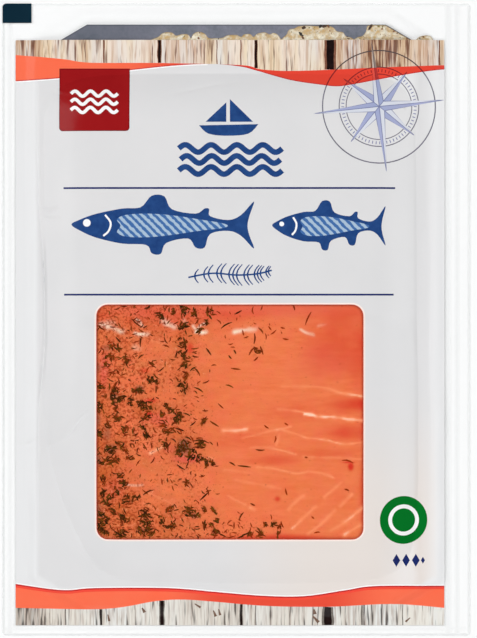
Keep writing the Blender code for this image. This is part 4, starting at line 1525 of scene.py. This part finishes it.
# %% Clumps of dill: middle x and y and radius in millimetres, and how brown from 0 to 1
DILL_CLUMPS = [
    (-41.2, -25.5, 2, 0), (-38.9, -26.3, 1.2, 0.1), (-35.7, -27.8, 1.2, 0),
    (-32.8, -28.2, 0.8, 0.2), (-29.8, -29.3, 2.2, 0), (-30.5, -32.7, 1.3, 0.1),
    (-31.9, -36.5, 1, 0), (-30.5, -38.8, 1, 0), (-25.2, -31.6, 0.8, 0.2), (-21.8, -30.2, 1, 0.3),
    (-23.5, -28.7, 0.8, 0.3), (-19.3, -32.3, 1.5, 0.1), (-40.4, -29.9, 0.8, 0.4),
    (-41.9, -43.5, 2, 0), (-39.3, -42.4, 1.2, 0.1), (-37.2, -44.1, 0.6, 0.5),
    (-17.6, -43.2, 2.4, 0.2), (-19.7, -44.9, 1.3, 0.1), (-15, -45.4, 1.6, 0),
    (-12.5, -46.6, 1.3, 0), (-10.6, -48.1, 1.1, 0), (-8.3, -48.3, 0.8, 0.1), (-12.1, -42, 1.4, 0.2),
    (-17.8, 4.1, 1.3, 0), (-17.6, 2.4, 1, 0.1), (-17.8, -2.1, 1.4, 0), (-18, -7.8, 1.5, 0.2),
    (-17.6, -12, 1.5, 0.1), (-17.1, -14.9, 1.3, 0.1), (-17.4, -18.7, 1.2, 0.3),
    (-18, -22.5, 1.8, 0), (-25.2, 1.1, 1.2, 0.2), (-21.4, 2.6, 1, 0.4), (-14.2, 1.9, 1.2, 0.3),
    (-9.1, 2.4, 1.3, 0.3), (-10.4, -1, 1, 0.1), (-12.5, -3.5, 1, 0.2), (-40.8, -9.2, 1.5, 0.2),
    (-43.3, -12, 1, 0.3), (-43.8, -14.9, 0.8, 0.3), (-41.8, -12.8, 0.7, 0.5), (-37, -14.1, 1, 0.3),
    (-29, -20.2, 1.3, 0), (-26.9, -21.1, 0.8, 0.2), (-32.4, -23.6, 1.4, 0.1),
    (-34.5, -23.8, 0.7, 0.4), (-28.5, -15, 0.8, 0.4), (-39.1, -52.5, 1.2, 0.1),
    (-38.1, -55.1, 1.2, 0.1), (-40.4, -57.6, 1, 0.2), (-45.2, -58.4, 1.2, 0),
    (-42.5, -60.1, 1.2, 0.1), (-43.8, -61.8, 1.2, 0.1), (-37.4, -60.6, 1.3, 0.2),
    (-34, -60.1, 1.3, 0.1), (-38.1, -66.7, 1.5, 0.1), (-30.7, -66.5, 2, 0.1),
    (-31.1, -69, 1.5, 0.1), (-30.2, -71.1, 1.5, 0.2), (-32.8, -70.7, 1.3, 0.1),
    (-28.5, -72.4, 1, 0.2), (-45, -67.7, 1.8, 0), (-45.9, -70.3, 1.5, 0), (-44.6, -71.7, 1.3, 0),
    (-39.1, -72, 1.6, 0.1), (-25.2, -67.7, 1.2, 0.2), (-21.8, -69.6, 1.3, 0.2),
    (-15.5, -65.2, 2, 0.1), (-12.9, -66, 1, 0.2), (-22.6, -63.5, 1.2, 0.5),
    (-10.8, -63.9, 0.8, 0.4), (-7.4, -64.1, 1, 0.4), (-10.8, -69, 1, 0.3), (-8.7, -69.2, 0.8, 0.4),
    (-6.6, -67.7, 0.8, 0.4), (-7, -71.5, 1.2, 0.3), (8.1, -71.7, 1.2, 0.4), (4.3, -72.2, 0.8, 0.4),
    (12.8, -68.8, 1, 0.3), (14.4, -69.6, 0.7, 0.4), (14, -72.4, 0.8, 0.5), (9.8, -69, 0.5, 0.5),
    (-23.9, -41.8, 1.4, 0.2), (-16.7, -55, 0.8, 0.5), (-45.9, -23, 1.3, 0), (-46.3, -29.3, 1.3, 0),
    (-46.3, -38.2, 1.2, 0), (-46.3, -47.9, 1.2, 0), (-46.3, -65.6, 1.5, 0),
    (-43.4, -47.6, 1.4, 0.2), (-40.6, -47.2, 1.2, 0.3), (-37.6, -37, 1.2, 0.4),
    (-43, -35.8, 1, 0.4), (-40, -33.4, 1.4, 0.5), (-22.9, -37.6, 1.6, 0.4),
    (-20.3, -34.2, 1.2, 0.3), (-11.3, -34.4, 1, 0.4), (-24.4, -35.5, 1, 0.5), (7, -10.6, 1.3, 0.5),
    (-44.5, -53.5, 1, 0.3), (-36, -46.9, 1, 0.5), (-41.7, -64.6, 1.3, 0.3)]
print(len(DILL_CLUMPS), "clumps of dill")

# %% Darker flesh around the dill and inside the window
SHADE_REACH = 1.2
SHADE_GREEN, SHADE_BROWNER = 0.85, 0.5
SHADE_PATCHES = (0.35, 1.1)
# how dark the flesh turns just inside the window's sides, and how wide that band is
RIM_SHADE = {"left": 0.85, "top": 0.6, "other": 0.35}
RIM_SHADE_SIDE = 1.5 * MM
RIM_SHADE_WIDTH = 0.55 * MM


def clump_shade(x, y):
    """Darker flesh under and around the clumps of dill."""
    share = np.zeros(np.shape(x))
    for a, b, reach, brown in DILL_CLUMPS:
        gap2 = ((x - a * MM) ** 2 + (y - b * MM) ** 2) / (SHADE_REACH * reach * MM) ** 2
        share = np.maximum(share, (SHADE_GREEN - SHADE_BROWNER * brown) * np.exp(-gap2))
    return share * (SHADE_PATCHES[0] + SHADE_PATCHES[1] * hills("clump", x, y))


def window_shade(x, y):
    """A narrow dark band inside the window, strongest at its left and upper sides."""
    strength = np.where(x < WINDOW["left"] + RIM_SHADE_SIDE, RIM_SHADE["left"], np.where(
        y > WINDOW["top"] - RIM_SHADE_SIDE, RIM_SHADE["top"], RIM_SHADE["other"]))
    return strength * np.exp(-(np.clip(depth_in(OPENING, x, y), 0, None) / RIM_SHADE_WIDTH) ** 2)


# %% Tones of the flesh, and where they lie
FLESH_BASE = ((236, 118, 68), (243, 133, 82))
TAN = (210, 112, 62)
DUST_TONE = (160, 54, 8)
FLECK_TONE = (250, 166, 126)
# soft patches: scale, contrast and, where it isn't full, strength and tone
FLESH_PATCHES = (75.0, 1.9)
FIBRES = (700.0, 3.2, 0.48, (226, 98, 52))
PATCHES = ((260.0, 2.6, 0.36, (240, 112, 88)), (190.0, 3.2, 0.26, (226, 132, 72)))
# the tones that the mesh's values bring in, from the lowest layer up
FLESH_TONES = {"shade": (124, 54, 4), "brown": (198, 92, 36), "pink": (226, 94, 76),
               "red": (216, 52, 32), "stain_and_edge_shade": (122, 84, 66), "fat": (251, 154, 106),
               "bright_fat": (255, 208, 182), "glare": (252, 232, 206)}
FLESH_VALUES = {
    "fat": lambda x, y: np.clip(fat_share(x, y) / 0.85, 0, 1),
    "tan": lambda x, y: 0.75 * ease(-x, -4 * MM, 22 * MM) * (0.6 + 0.8 * hills("tan", x, y)),
    "shade": lambda x, y: np.maximum(clump_shade(x, y), window_shade(x, y)),
    "bright_fat": lambda x, y: np.clip((fat_share(x, y) - 0.62) / 0.5, 0, 1),
    "glare": lambda x, y: np.clip(ragged_lines(GLARES, x, y), 0, 1),
    "red": lambda x, y: np.clip(zones(RED_ZONES, x, y) * (1 + 0.3 * hills("red", x, y)), 0, 1),
    "pink": lambda x, y: np.clip(zones(PINK_ZONES, x, y), 0, 1),
    "brown": lambda x, y: zones(BROWN_ZONES, x, y) * (0.9 + 0.5 * hills("brown", x, y)),
    "stain_and_edge_shade": lambda x, y: zones(STAINS_AND_EDGE_SHADE, x, y),
    "dust": dill_density}
print(len(FLESH_VALUES), "values for the flesh")

# %% Flesh
FIBRE_TURN = 12
FIBRE_STRETCH = (0.22, 1, 1)
DUST = (1250.0, 1.0)
DUST_REACH = 0.17
# where in the dust's noise dark grains and pale flecks begin and are full
GRAINS = (0.66, 0.76)
FLECKS = (0.40, 0.27)
GRAIN_STRENGTH = 0.75


def flesh(tree):
    """Mottled orange with fibres, the mesh's tones, dark dust and pale flecks."""
    fibre_place = add(tree, "Mapping", Vector=object_place(tree), Scale=FIBRE_STRETCH,
                      Rotation=(0, 0, math.radians(FIBRE_TURN))).outputs[0]
    dust = mottled(tree, *DUST)
    tan = read_value(tree, "tan")
    thick = math_node(tree, "ADD", dust,
                      math_node(tree, "MULTIPLY", read_value(tree, "dust"), DUST_REACH))
    flecks = math_node(tree, "MULTIPLY", ranged(tree, dust, *FLECKS, high=GRAIN_STRENGTH), tan)
    return layered(
        tree, mix_colors(tree, mottled(tree, *FLESH_PATCHES), *FLESH_BASE), (tan, TAN),
        (mottled(tree, *FIBRES[:3], fibre_place), FIBRES[3]),
        *((mottled(tree, *how), color) for *how, color in PATCHES),
        *((read_value(tree, name), color) for name, color in FLESH_TONES.items()),
        (ranged(tree, thick, *GRAINS, high=GRAIN_STRENGTH), DUST_TONE), (flecks, FLECK_TONE))


SALMON_FLESH = make_finish(
    "salmon_flesh", 0, Base_Color=flesh, Roughness=0.3, Subsurface_Weight=0.12,
    Subsurface_Radius=(1.0, 0.35, 0.2), Subsurface_Scale=0.5 * MM, Specular_IOR_Level=0.3)

# %% Two slices on one net
FINE_STEP = 0.42 * MM
ROW_HEIGHT = 0.87
SEAM_WIDTH = 0.15 * MM
SEAM_POINTS = 200
# how far the seam runs past the fish, keeps other points off, and counts as above
SEAM_PAST, SEAM_CLEAR, SEAM_SIDE = 2 * MM, 0.2 * MM, 0.08 * MM
FINE_MARGIN, COARSE_FROM = 1 * MM, 1.2 * MM


def even_points(left, bottom, right, top, step):
    """Rows of points, each row half a step along from the last."""
    rows = []
    for k, y in enumerate(np.arange(bottom, top, step * ROW_HEIGHT)):
        xs = np.arange(left + (step / 2 if k % 2 else 0), right, step)
        rows.append(np.column_stack([xs, np.full(len(xs), y)]))
    return np.concatenate(rows)


def salmon_floor(x, y):
    return np.full(np.shape(x), SALMON_FLOOR)


def make_slices():
    """Fine points in the window, the map's points elsewhere, and a seam between the slices."""
    fine = even_points(*grown(WINDOW, FINE_MARGIN), FINE_STEP)
    coarse = LATTICE[depth_in(OPENING, LATTICE[:, 0], LATTICE[:, 1]) < -COARSE_FROM]
    near = np.abs(fine[:, 1] - meeting_y(fine[:, 0])) > SEAM_CLEAR
    reach = SALMON_WIDTH / 2 + SEAM_PAST
    line = [(float(x), float(meeting_y(x))) for x in np.linspace(-reach, reach, SEAM_POINTS)]
    seam = line + [(x, y + SEAM_WIDTH) for x, y in line[::-1]]
    places, triangles = make_net(SALMON, np.concatenate([fine[near], coarse]), [seam], 1 * MM)
    middles = places[triangles].mean(axis=1)
    above = middles[:, 1] > meeting_y(middles[:, 0]) + SEAM_SIDE
    for name, mine, node in (("salmon_lower", ~above, "slice_lower"),
                             ("salmon_upper", above, "slice_upper")):
        piece = make_sheet(name, (places, triangles[mine]), salmon_face, salmon_floor,
                           SALMON_FLESH)
        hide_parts(node)
        for value, rule in FLESH_VALUES.items():
            values_by_place(piece, value, "POINT", rule)


make_slices()

# %% [markdown]
# Dill. It is chopped fine: most of it is single bent threads a millimetre or two long, from
# dark green to the red-brown of threads soaked in the cure. They are real meshes, joined
# into one piece. Clumps lie at named places, loose threads follow the same density as the
# dust on the flesh, and some longer threads are laid one by one.

# %% How threads are thrown
DILL_SEED = 12
# threads in a clump: at least this many, and so many more for its radius squared
CLUMP_THREADS = (5, 5.5)
# how far a clump spreads along its own direction, and across it
CLUMP_SPREAD = (1.35, 0.85)
CLUMP_TURN = 0.75
# length and radius in millimetres: the least, and what a full size adds
CLUMP_LENGTH, CLUMP_RADIUS = (0.7, 1.3), (0.16, 0.15)
LOOSE_LENGTH, LOOSE_RADIUS = (0.8, 1.9), (0.14, 0.10)
CLUMP_BOW, LOOSE_BOW, LONG_BOW = 0.15, 0.17, 0.12
LOOSE_SHARE = 0.62
LOOSE_TRIES = 2000
LOOSE_MARGIN = 0.6 * MM
LOOSE_RIGHT = 24 * MM
LONG_RADIUS = 0.27 * MM
# where along a thread its four corners sit, and how thick it is there
THREAD_STATIONS = ((0, 0.35), (0.35, 1), (0.7, 0.85), (1, 0.25))
THREAD_SIDES = ((1, 0), (0, 1), (-1, 0), (0, -1))
print(LOOSE_TRIES, "loose threads are tried")

# %% Long threads: first end, last end, and how brown
LONG_THREADS = [
    ((-35.3, 0.3), (-31.7, -2.6), 0.25), ((-31.9, -5.7), (-32.3, -9.2), 0.15),
    ((-5.2, -3), (-1.4, -0.9), 0.2), ((-10.2, -9.6), (-8.5, -12), 0.2),
    ((-0.6, 1.8), (1.8, 3.1), 0.1), ((6.1, -4.6), (5.9, -8.2), 0.2),
    ((25.2, 2.6), (23.2, -1.8), 0.35), ((-31.4, -59.1), (-28, -57.4), 0.2),
    ((-12.3, -60.9), (-9.4, -58.1), 0.2), ((-20, -48.8), (-17.3, -50.6), 0.05),
    ((-41.5, -70.9), (-37, -73.4), 0), ((6.5, -43.8), (9.5, -43.9), 0.25),
    ((2.4, -64.9), (0.9, -67.8), 0.4), ((16.5, -56.9), (17.1, -59.2), 0.5),
    ((19, 4.9), (19.6, 3.1), 0.2), ((-46.6, -1.9), (-44.4, -3.4), 0.4),
    ((-37.3, -11.4), (-36.4, -16.4), 0.35), ((-29.6, -13.9), (-27, -16.2), 0.4),
    ((-20.5, -36.7), (-17.5, -37.6), 0), ((-14.4, -16.2), (-12.3, -19), 0.5),
    ((-14.2, -22.8), (-11.2, -24.5), 0.4), ((-14.6, -40.9), (-9.2, -41.6), 0.25),
    ((-25, -69.2), (-19.9, -69.6), 0.15), ((-6.1, -71.9), (-3.5, -73.2), 0.3),
    ((0.5, -49.2), (4.9, -49.7), 0.5), ((-2.4, -48), (-0.4, -49.2), 0.4),
    ((9.4, -35.6), (10.9, -36.6), 0.6), ((16.2, -34.8), (17.4, -35.6), 0.7),
    ((13.2, -39.2), (12.8, -41.4), 0.7), ((23, -46.3), (24, -46.4), 0.5),
    ((4.7, -61.9), (6.3, -62.6), 0.35), ((36.4, -57.1), (38, -57.8), 0.4),
    ((26.1, -71.9), (28.3, -71.6), 0.6), ((25.3, -66.3), (26.2, -67), 0.7),
    ((6.4, -71), (9.8, -72.9), 0.35), ((1.2, -73.3), (4.7, -71.8), 0.2),
    ((15, -67.9), (15.9, -70), 0.4), ((35.5, -47.4), (39.4, -48.4), 0.6),
    ((7.4, -2.8), (9, -4.8), 0.5), ((10.8, -2.2), (11.8, -3.6), 0.6),
    ((14.9, -2.6), (16.3, -3), 0.5), ((15.6, -6.3), (17.6, -6.7), 0.5),
    ((5.9, -9.4), (4.2, -12), 0.6), ((8, -9), (9, -11.8), 0.4), ((7.2, -12.6), (5.8, -13.9), 0.5),
    ((-0.9, -10.2), (-0.2, -11.6), 0.3), ((-2.6, -12), (-1.6, -13.2), 0.5),
    ((-1.8, -16.4), (1.4, -16.8), 0.9), ((-3.6, -22), (-1, -23), 1),
    ((2.3, -73), (0.3, -73.6), 0.2), ((-8.9, -34.2), (-6, -36), 0.8)]
print(len(LONG_THREADS), "long threads")


# %% One thread
def thread(start, end, bow, radius, lift):
    """A four-sided thread that is thick in the middle and narrow at both ends."""
    start, end = np.array(start), np.array(end)
    along = end - start
    length = np.linalg.norm(along)
    aside = np.array([-along[1], along[0]]) / max(length, 1e-9)
    points, faces = [], []
    for share, thick in THREAD_STATIONS:
        x, y = start + along * share + aside * bow * length * 4 * share * (1 - share)
        for u, w in THREAD_SIDES:
            points.append((x + aside[0] * u * radius * thick, y + aside[1] * u * radius * thick,
                           w * radius * thick + lift))
    last = len(points) - 4
    for k in range(0, last, 4):
        for n in range(4):
            a, b = k + n, k + (n + 1) % 4
            faces.append((a, a + 4, b + 4, b))
    return points, [*faces, (0, 1, 2, 3), (last + 3, last + 2, last + 1, last)]


# %% Threads in clumps
def sized(least, more, share):
    return (least + more * share) * MM


def laid(middle, angle, length, radius, bow):
    """A thread's first end, last end, bow and radius, from where and which way it lies."""
    reach = np.array([math.cos(angle), math.sin(angle)]) * length / 2
    return np.array(middle) - reach, np.array(middle) + reach, bow, radius


def clump_threads(draw):
    """Threads that lie close together, most of them along their clump's own direction."""
    for x, y, spread, brown in DILL_CLUMPS:
        main = draw.uniform(0, math.pi)
        for _ in range(round(CLUMP_THREADS[0] + CLUMP_THREADS[1] * spread ** 2)):
            reach, turn = spread * draw.random() ** 0.65, draw.uniform(0, 2 * math.pi)
            along, across = (reach * CLUMP_SPREAD[0] * math.cos(turn),
                             reach * CLUMP_SPREAD[1] * math.sin(turn))
            middle = ((x + along * math.cos(main) - across * math.sin(main)) * MM,
                      (y + along * math.sin(main) + across * math.cos(main)) * MM)
            size = draw.random()
            green = draw.uniform(0.35, 1.0) if draw.random() > brown else draw.uniform(0, 0.4)
            yield (*laid(middle, draw.gauss(main, CLUMP_TURN), sized(*CLUMP_LENGTH, size),
                         sized(*CLUMP_RADIUS, size), draw.uniform(-CLUMP_BOW, CLUMP_BOW)),
                   min(1.0, 0.8 * brown + draw.random() ** 2), green)


# %% Loose threads and long ones
def loose_threads(draw):
    """Single threads, thrown evenly and kept as often as dill lies there, then the long ones."""
    left, low, _, high = grown(WINDOW, -LOOSE_MARGIN)
    tries = np.array([(draw.uniform(left, LOOSE_RIGHT), draw.uniform(low, high), draw.random())
                      for _ in range(LOOSE_TRIES)])
    wanted = LOOSE_SHARE * dill_density(tries[:, 0], tries[:, 1])
    for x, y, _ in tries[tries[:, 2] < wanted]:
        size = draw.random() ** 1.4
        soaked = float(ease(x, -16 * MM, -2 * MM))
        yield (*laid((x, y), draw.uniform(0, math.pi), sized(*LOOSE_LENGTH, size),
                     sized(*LOOSE_RADIUS, size), draw.uniform(-LOOSE_BOW, LOOSE_BOW)),
               max(draw.uniform(0.1, 1.0), 0.75 * soaked), draw.random() ** 2 * (1 - soaked))
    for first, last, brown in LONG_THREADS:
        soaked = float(ease(first[0], 0, 12))
        yield (np.array(first) * MM, np.array(last) * MM, draw.uniform(-LONG_BOW, LONG_BOW), LONG_RADIUS,
               brown + 0.35 * soaked, draw.uniform(0.2, 0.8) * (1 - soaked))


# %% Many small solids as one piece
CEILING_GAP = 0.02 * MM


def join_solids(name, solids, material, values, floor=None):
    """Solids, each with its faces and its values, as one mesh that stays under the film."""
    points, faces, numbers = [], [], []
    for spots, sides, given in solids:
        faces += [tuple(len(points) + corner for corner in side) for side in sides]
        points += spots
        numbers += [given] * len(sides)
    points = np.array(points)
    if floor:
        points[:, 2] += floor(points[:, 0], points[:, 1])
    ceiling = below_film(points[:, 0], points[:, 1], CEILING_GAP)
    points[:, 2] = np.minimum(points[:, 2], ceiling)
    piece = put_mesh(name, points, faces, material)
    for value, column in zip(values, zip(*numbers)):
        store_values(piece, value, "FACE", column)


# %% Dill as one piece
LEAF_DARK = ((60, 14, 0), (30, 26, 0))
LEAF_LIGHT = ((176, 58, 8), (116, 78, 14))
LEAF_SPOTS = (90, 54, 0)
LEAF_PATCHES = (1500.0, 1.5, 0.25)
THREAD_LIFT = (0.02, 0.14)


def leaf(tree):
    """From dark to light by one value of each face, from red-brown to green by another."""
    green = read_value(tree, "green")
    dark, light = (mix_colors(tree, green, *tones) for tones in (LEAF_DARK, LEAF_LIGHT))
    return layered(tree, mix_colors(tree, read_value(tree, "tone"), dark, light),
                   (mottled(tree, *LEAF_PATCHES), LEAF_SPOTS))


def all_threads():
    """Every thread's solid, with its tone and how green it is."""
    draw = random.Random(DILL_SEED)
    for *shape, tone, green in [*clump_threads(draw), *loose_threads(draw)]:
        yield *thread(*shape, draw.uniform(*THREAD_LIFT) * MM), (tone, green)


DILL_GREEN = make_finish("dill_green", 0, Base_Color=leaf, Roughness=0.5, Specular_IOR_Level=0.04)
join_solids("dill_threads", all_threads(), DILL_GREEN, ("tone", "green"), salmon_face)

# %% [markdown]
# Marinade. Some of the cure has run out over the board above the print and shows under the
# clear film: low cream and golden blobs with browner rims, and crumbs of pepper and dill in
# them. Each blob is a net inside a drawn outline, swelling up from the board. The crumbs are
# small uneven lumps, real meshes joined into one piece.

# %% Outlines of the blobs, in millimetres
BLOBS = {
    "left": [(-26.4, 93.4), (-26, 95.8), (-24.4, 97), (-21.8, 97), (-20.4, 96), (-18.2, 96.5),
        (-16.3, 96.3), (-15.4, 95.2), (-14.5, 96.6), (-12.6, 97.3), (-10.6, 96.5), (-9.4, 95.2),
        (-7, 95.1), (-4.6, 95.3), (-3, 96.1), (0, 96.2), (1.6, 95.6), (2.6, 96.4), (4.6, 96.5),
        (5.8, 95.6), (7, 96.6), (9.5, 97.1), (11.2, 96.4), (12.4, 96.9), (13.8, 96.4), (15, 94.9),
        (15.8, 93.4)],
    "middle": [(16.6, 93.4), (17.1, 96.6), (18, 98.1), (19.6, 98.4), (20.9, 99.1), (23.5, 99.35),
        (27.5, 99.2), (30.5, 99.4), (32.8, 98.7), (33.9, 97.5), (36, 97.1), (37, 95.8),
        (38.8, 95.3), (39.9, 94.4), (39.6, 93.4)],
    "right": [(40.1, 93.4), (40.7, 95.3), (42.6, 95.9), (43.8, 97.4), (44.3, 99.2), (46.5, 99.5),
        (50, 99.45), (50.7, 99.25), (53.4, 97.7), (56, 96.15), (58.4, 94.75), (60, 93.4)]}
OFF_BOARD = [
    (60.4, 93.4), (61.3, 95.2), (62.6, 95.9), (64.5, 96.1), (65.9, 95.6), (66.3, 93.4)]
# x, y, size and tone: 0 black, 0.5 brown, 1 olive
CRUMBS = [
    (22.8, 98.6, 1.5, 0.1), (21.9, 96.5, 2, 0), (22.4, 95.4, 1.1, 0.3), (28.4, 99.1, 1.4, 0),
    (29.7, 99.1, 1.4, 0.1), (31, 99.1, 1, 0.4), (45.3, 98.9, 1.7, 0.1), (46.9, 97.7, 0.5, 0),
    (49.2, 98.2, 0.7, 0.5), (-12.9, 95.1, 1.3, 0.4), (-12.4, 96.9, 0.5, 0.3),
    (-6.1, 94.9, 0.5, 0.1), (-17.7, 95.6, 0.8, 0.9), (53.2, 97.4, 0.8, 0.5), (54.3, 96.8, 0.6, 0.6),
    (57.6, 94.9, 0.6, 0.5), (58.6, 94.5, 0.7, 0.3), (38, 94.9, 0.6, 0.6), (24.6, 98.6, 0.6, 0.9),
    (26.2, 98.2, 0.5, 0.8), (48, 99.1, 0.8, 0.9), (49.4, 99, 0.6, 0.9), (62, 95, 0.5, 0.3),
    (63.2, 95.6, 0.6, 0.4), (37.4, 95.6, 0.4, 0.3), (18.6, 97.2, 0.5, 0.8), (10, 96.1, 0.4, 0.5),
    (31.6, 97.6, 0.5, 0.5)]

print(len(BLOBS), "blobs on the board, and", len(CRUMBS), "crumbs by name")

# %% Blobs
SAUCE = ((204, 170, 116), (240, 232, 210))
SAUCE_SPOTS = (188, 180, 166)
SAUCE_RIM = (160, 132, 84)
# scale, contrast and, where it isn't full, strength
CREAM, CREAM_SPOTS = (520.0, 5.0), (1500.0, 4.0, 0.5)
MARINADE_SWELL = 0.26 * MM
MARINADE_LEAST = 0.02 * MM
MARINADE_STEP = 0.4 * MM
MARINADE_ROUND = 0.5 * MM
MARINADE_EDGE = 0.5 * MM
MARINADE_UNEVEN = 0.35
MARINADE_RIM = 0.04 * MM
FILM_ROOM = 0.05 * MM
RIM_BROWN, RIM_STRENGTH = 0.22 * MM, 0.9
ABOVE_BOARD, ABOVE_FILM = 0.02 * MM, 0.01 * MM


def golden(tree):
    """Cream in golden sauce, browner at the rim."""
    return layered(tree, mix_colors(tree, mottled(tree, *CREAM), *SAUCE),
                   (mottled(tree, *CREAM_SPOTS), SAUCE_SPOTS),
                   (read_value(tree, "rim"), SAUCE_RIM))


def on_board(x, y):
    return np.full(np.shape(x), BOARD_HIGH[2] + ABOVE_BOARD)


def on_back_film(x, y):
    return back_top(x, y) + ABOVE_FILM


def make_blob(name, outline, floor):
    """A low drop: it swells quickly from its rim and stays under the film."""
    rim = through(in_mm(outline), CURVE_STEPS, True)
    spots = np.array(rim)
    fill_points = even_points(*spots.min(axis=0), *spots.max(axis=0), MARINADE_STEP)

    def deep(x, y):
        return np.clip(depth_in(rim, x, y), 0, None)

    def crown(x, y):
        room = below_film(x, y, FILM_ROOM) - floor(x, y)
        uneven = 1 + MARINADE_UNEVEN * hills("marinade", x, y)
        swell = MARINADE_SWELL * uneven * (1 - np.exp(-deep(x, y) / MARINADE_ROUND))
        return floor(x, y) + np.clip(swell + MARINADE_RIM, MARINADE_LEAST, room)

    piece = make_sheet(name, make_net(rim, fill_points, (), MARINADE_EDGE), crown, floor,
                       MARINADE_GOLD)
    values_by_place(piece, "rim", "POINT",
                    lambda x, y: RIM_STRENGTH * np.exp(-deep(x, y) / RIM_BROWN))


MARINADE_GOLD = make_finish("marinade_gold", 0, Base_Color=golden, Roughness=0.2)
for name, outline in BLOBS.items():
    make_blob(f"marinade_{name}", outline, on_board)
make_blob("marinade_off_board", OFF_BOARD, on_back_film)

# %% One crumb
CRUMB_TONES = ((26, 18, 10), (134, 84, 44), (128, 122, 52))
LUMP_HEIGHT = 0.35 * MM
# how far a lump reaches along and across, and how its corners are pushed about
LUMP_LONG, LUMP_WIDE, LUMP_UNEVEN = (0.9, 1.3), (0.5, 0.8), (0.8, 1.2)
GOLDEN = (1 + math.sqrt(5)) / 2
BALL = [v for a in (-1, 1) for b in (-GOLDEN, GOLDEN) for v in ((0, a, b), (a, b, 0), (b, 0, a))]


def ball_faces():
    """The 20 triangles round the ball's twelve corners, as the hull finds them."""
    ball = bmesh.new()
    for spot in BALL:
        ball.verts.new(spot)
    bmesh.ops.convex_hull(ball, input=ball.verts)
    ball.verts.index_update()
    faces = [tuple(vert.index for vert in face.verts) for face in ball.faces]
    ball.free()
    return faces


def lump(draw, x, y, z, size):
    """An uneven pebble: the ball squashed, turned and with its corners pushed about."""
    turn = draw.uniform(0, math.pi)
    reach = (size * draw.uniform(*LUMP_LONG), size * draw.uniform(*LUMP_WIDE),
             min(size * 0.5, LUMP_HEIGHT))
    spots = []
    for corner in BALL:
        a, b, c = (v * r * draw.uniform(*LUMP_UNEVEN) / (2 * GOLDEN)
                   for v, r in zip(corner, reach))
        spots.append((x + a * math.cos(turn) - b * math.sin(turn),
                      y + a * math.sin(turn) + b * math.cos(turn), z + c))
    return spots


def crumb(tree):
    """Black, brown or olive, by one value of each face."""
    tone = read_value(tree, "tone")
    black, brown, olive = CRUMB_TONES
    return layered(tree, black, (ranged(tree, tone, 0.0, 0.5), brown),
                   (ranged(tree, tone, 0.5, 1.0), olive))


print(len(BALL), "corners on a crumb")

# %% All crumbs
CRUMB_SEED = 7
FINE_CRUMBS = 60
FINE_CRUMB_SIZES = (0.22, 0.42)
FINE_CRUMB_TONES = (0.2, 0.5, 0.6, 0.9)
# where the fine ones are tried, in millimetres
FINE_CRUMB_X, FINE_CRUMB_Y = (-26, 58), (94.2, 99.3)
CRUMB_INSET, CRUMB_ROOM = 0.3 * MM, 0.04 * MM


def deep_in(outline, x, y):
    return float(depth_in(outline, np.float64(x), np.float64(y)))


def all_crumbs():
    """The table's crumbs and many fine ones inside the blobs, each with its tone."""
    draw = random.Random(CRUMB_SEED)
    wanted = list(CRUMBS)
    rims = [through(in_mm(outline), CURVE_STEPS, True) for outline in BLOBS.values()]
    while len(wanted) < len(CRUMBS) + FINE_CRUMBS:
        x, y = draw.uniform(*FINE_CRUMB_X), draw.uniform(*FINE_CRUMB_Y)
        if any(deep_in(rim, x * MM, y * MM) > CRUMB_INSET for rim in rims):
            wanted.append((x, y, draw.uniform(*FINE_CRUMB_SIZES), draw.choice(FINE_CRUMB_TONES)))
    sides = ball_faces()
    for x, y, size, tone in wanted:
        x, y = x * MM, y * MM
        floor = on_board if deep_in(BOARD, x, y) > 0 else on_back_film
        z = min(float(floor(x, y)) + MARINADE_SWELL,
                float(below_film(x, y, CRUMB_ROOM)) - LUMP_HEIGHT / 2)
        yield lump(draw, x, y, z, size * MM), sides, (tone,)


CRUMB_BROWN = make_finish("crumb_brown", 0, Base_Color=crumb, Roughness=0.5)
join_solids("marinade_crumbs", all_crumbs(), CRUMB_BROWN, ("tone",))

# %% [markdown]
# The floor is a plain white table, far larger than the view. It glows a little, as a light
# table does in a studio, so that the clear rim of the pack shows no grey shadow.

# %% Floor
TABLE_GLOW = 0.25
TABLE_TONES = ((0.625, 0.63, 0.63, 1), (0.632, 0.637, 0.637, 1))
TABLE_HALF = 4.0
TABLE_PATCHES = (6.0, 0.5)


def table_tone(tree):
    return mix_colors(tree, mottled(tree, *TABLE_PATCHES), *TABLE_TONES)


TABLE_WHITE = make_finish("table_white", 0, Base_Color=table_tone, Roughness=0.9,
                          Emission_Color=(1, 1, 1, 1), Emission_Strength=TABLE_GLOW)
table = bpy.data.meshes.new("floor")
table.from_pydata([(x, y, 0) for x, y in box(-TABLE_HALF, -TABLE_HALF, TABLE_HALF, TABLE_HALF)], [],
                  [(0, 1, 2, 3)])
table.materials.append(TABLE_WHITE)
floor = bpy.data.objects.new("floor", table)
bpy.context.scene.collection.objects.link(floor)
print("floor", 2 * TABLE_HALF, "m wide")
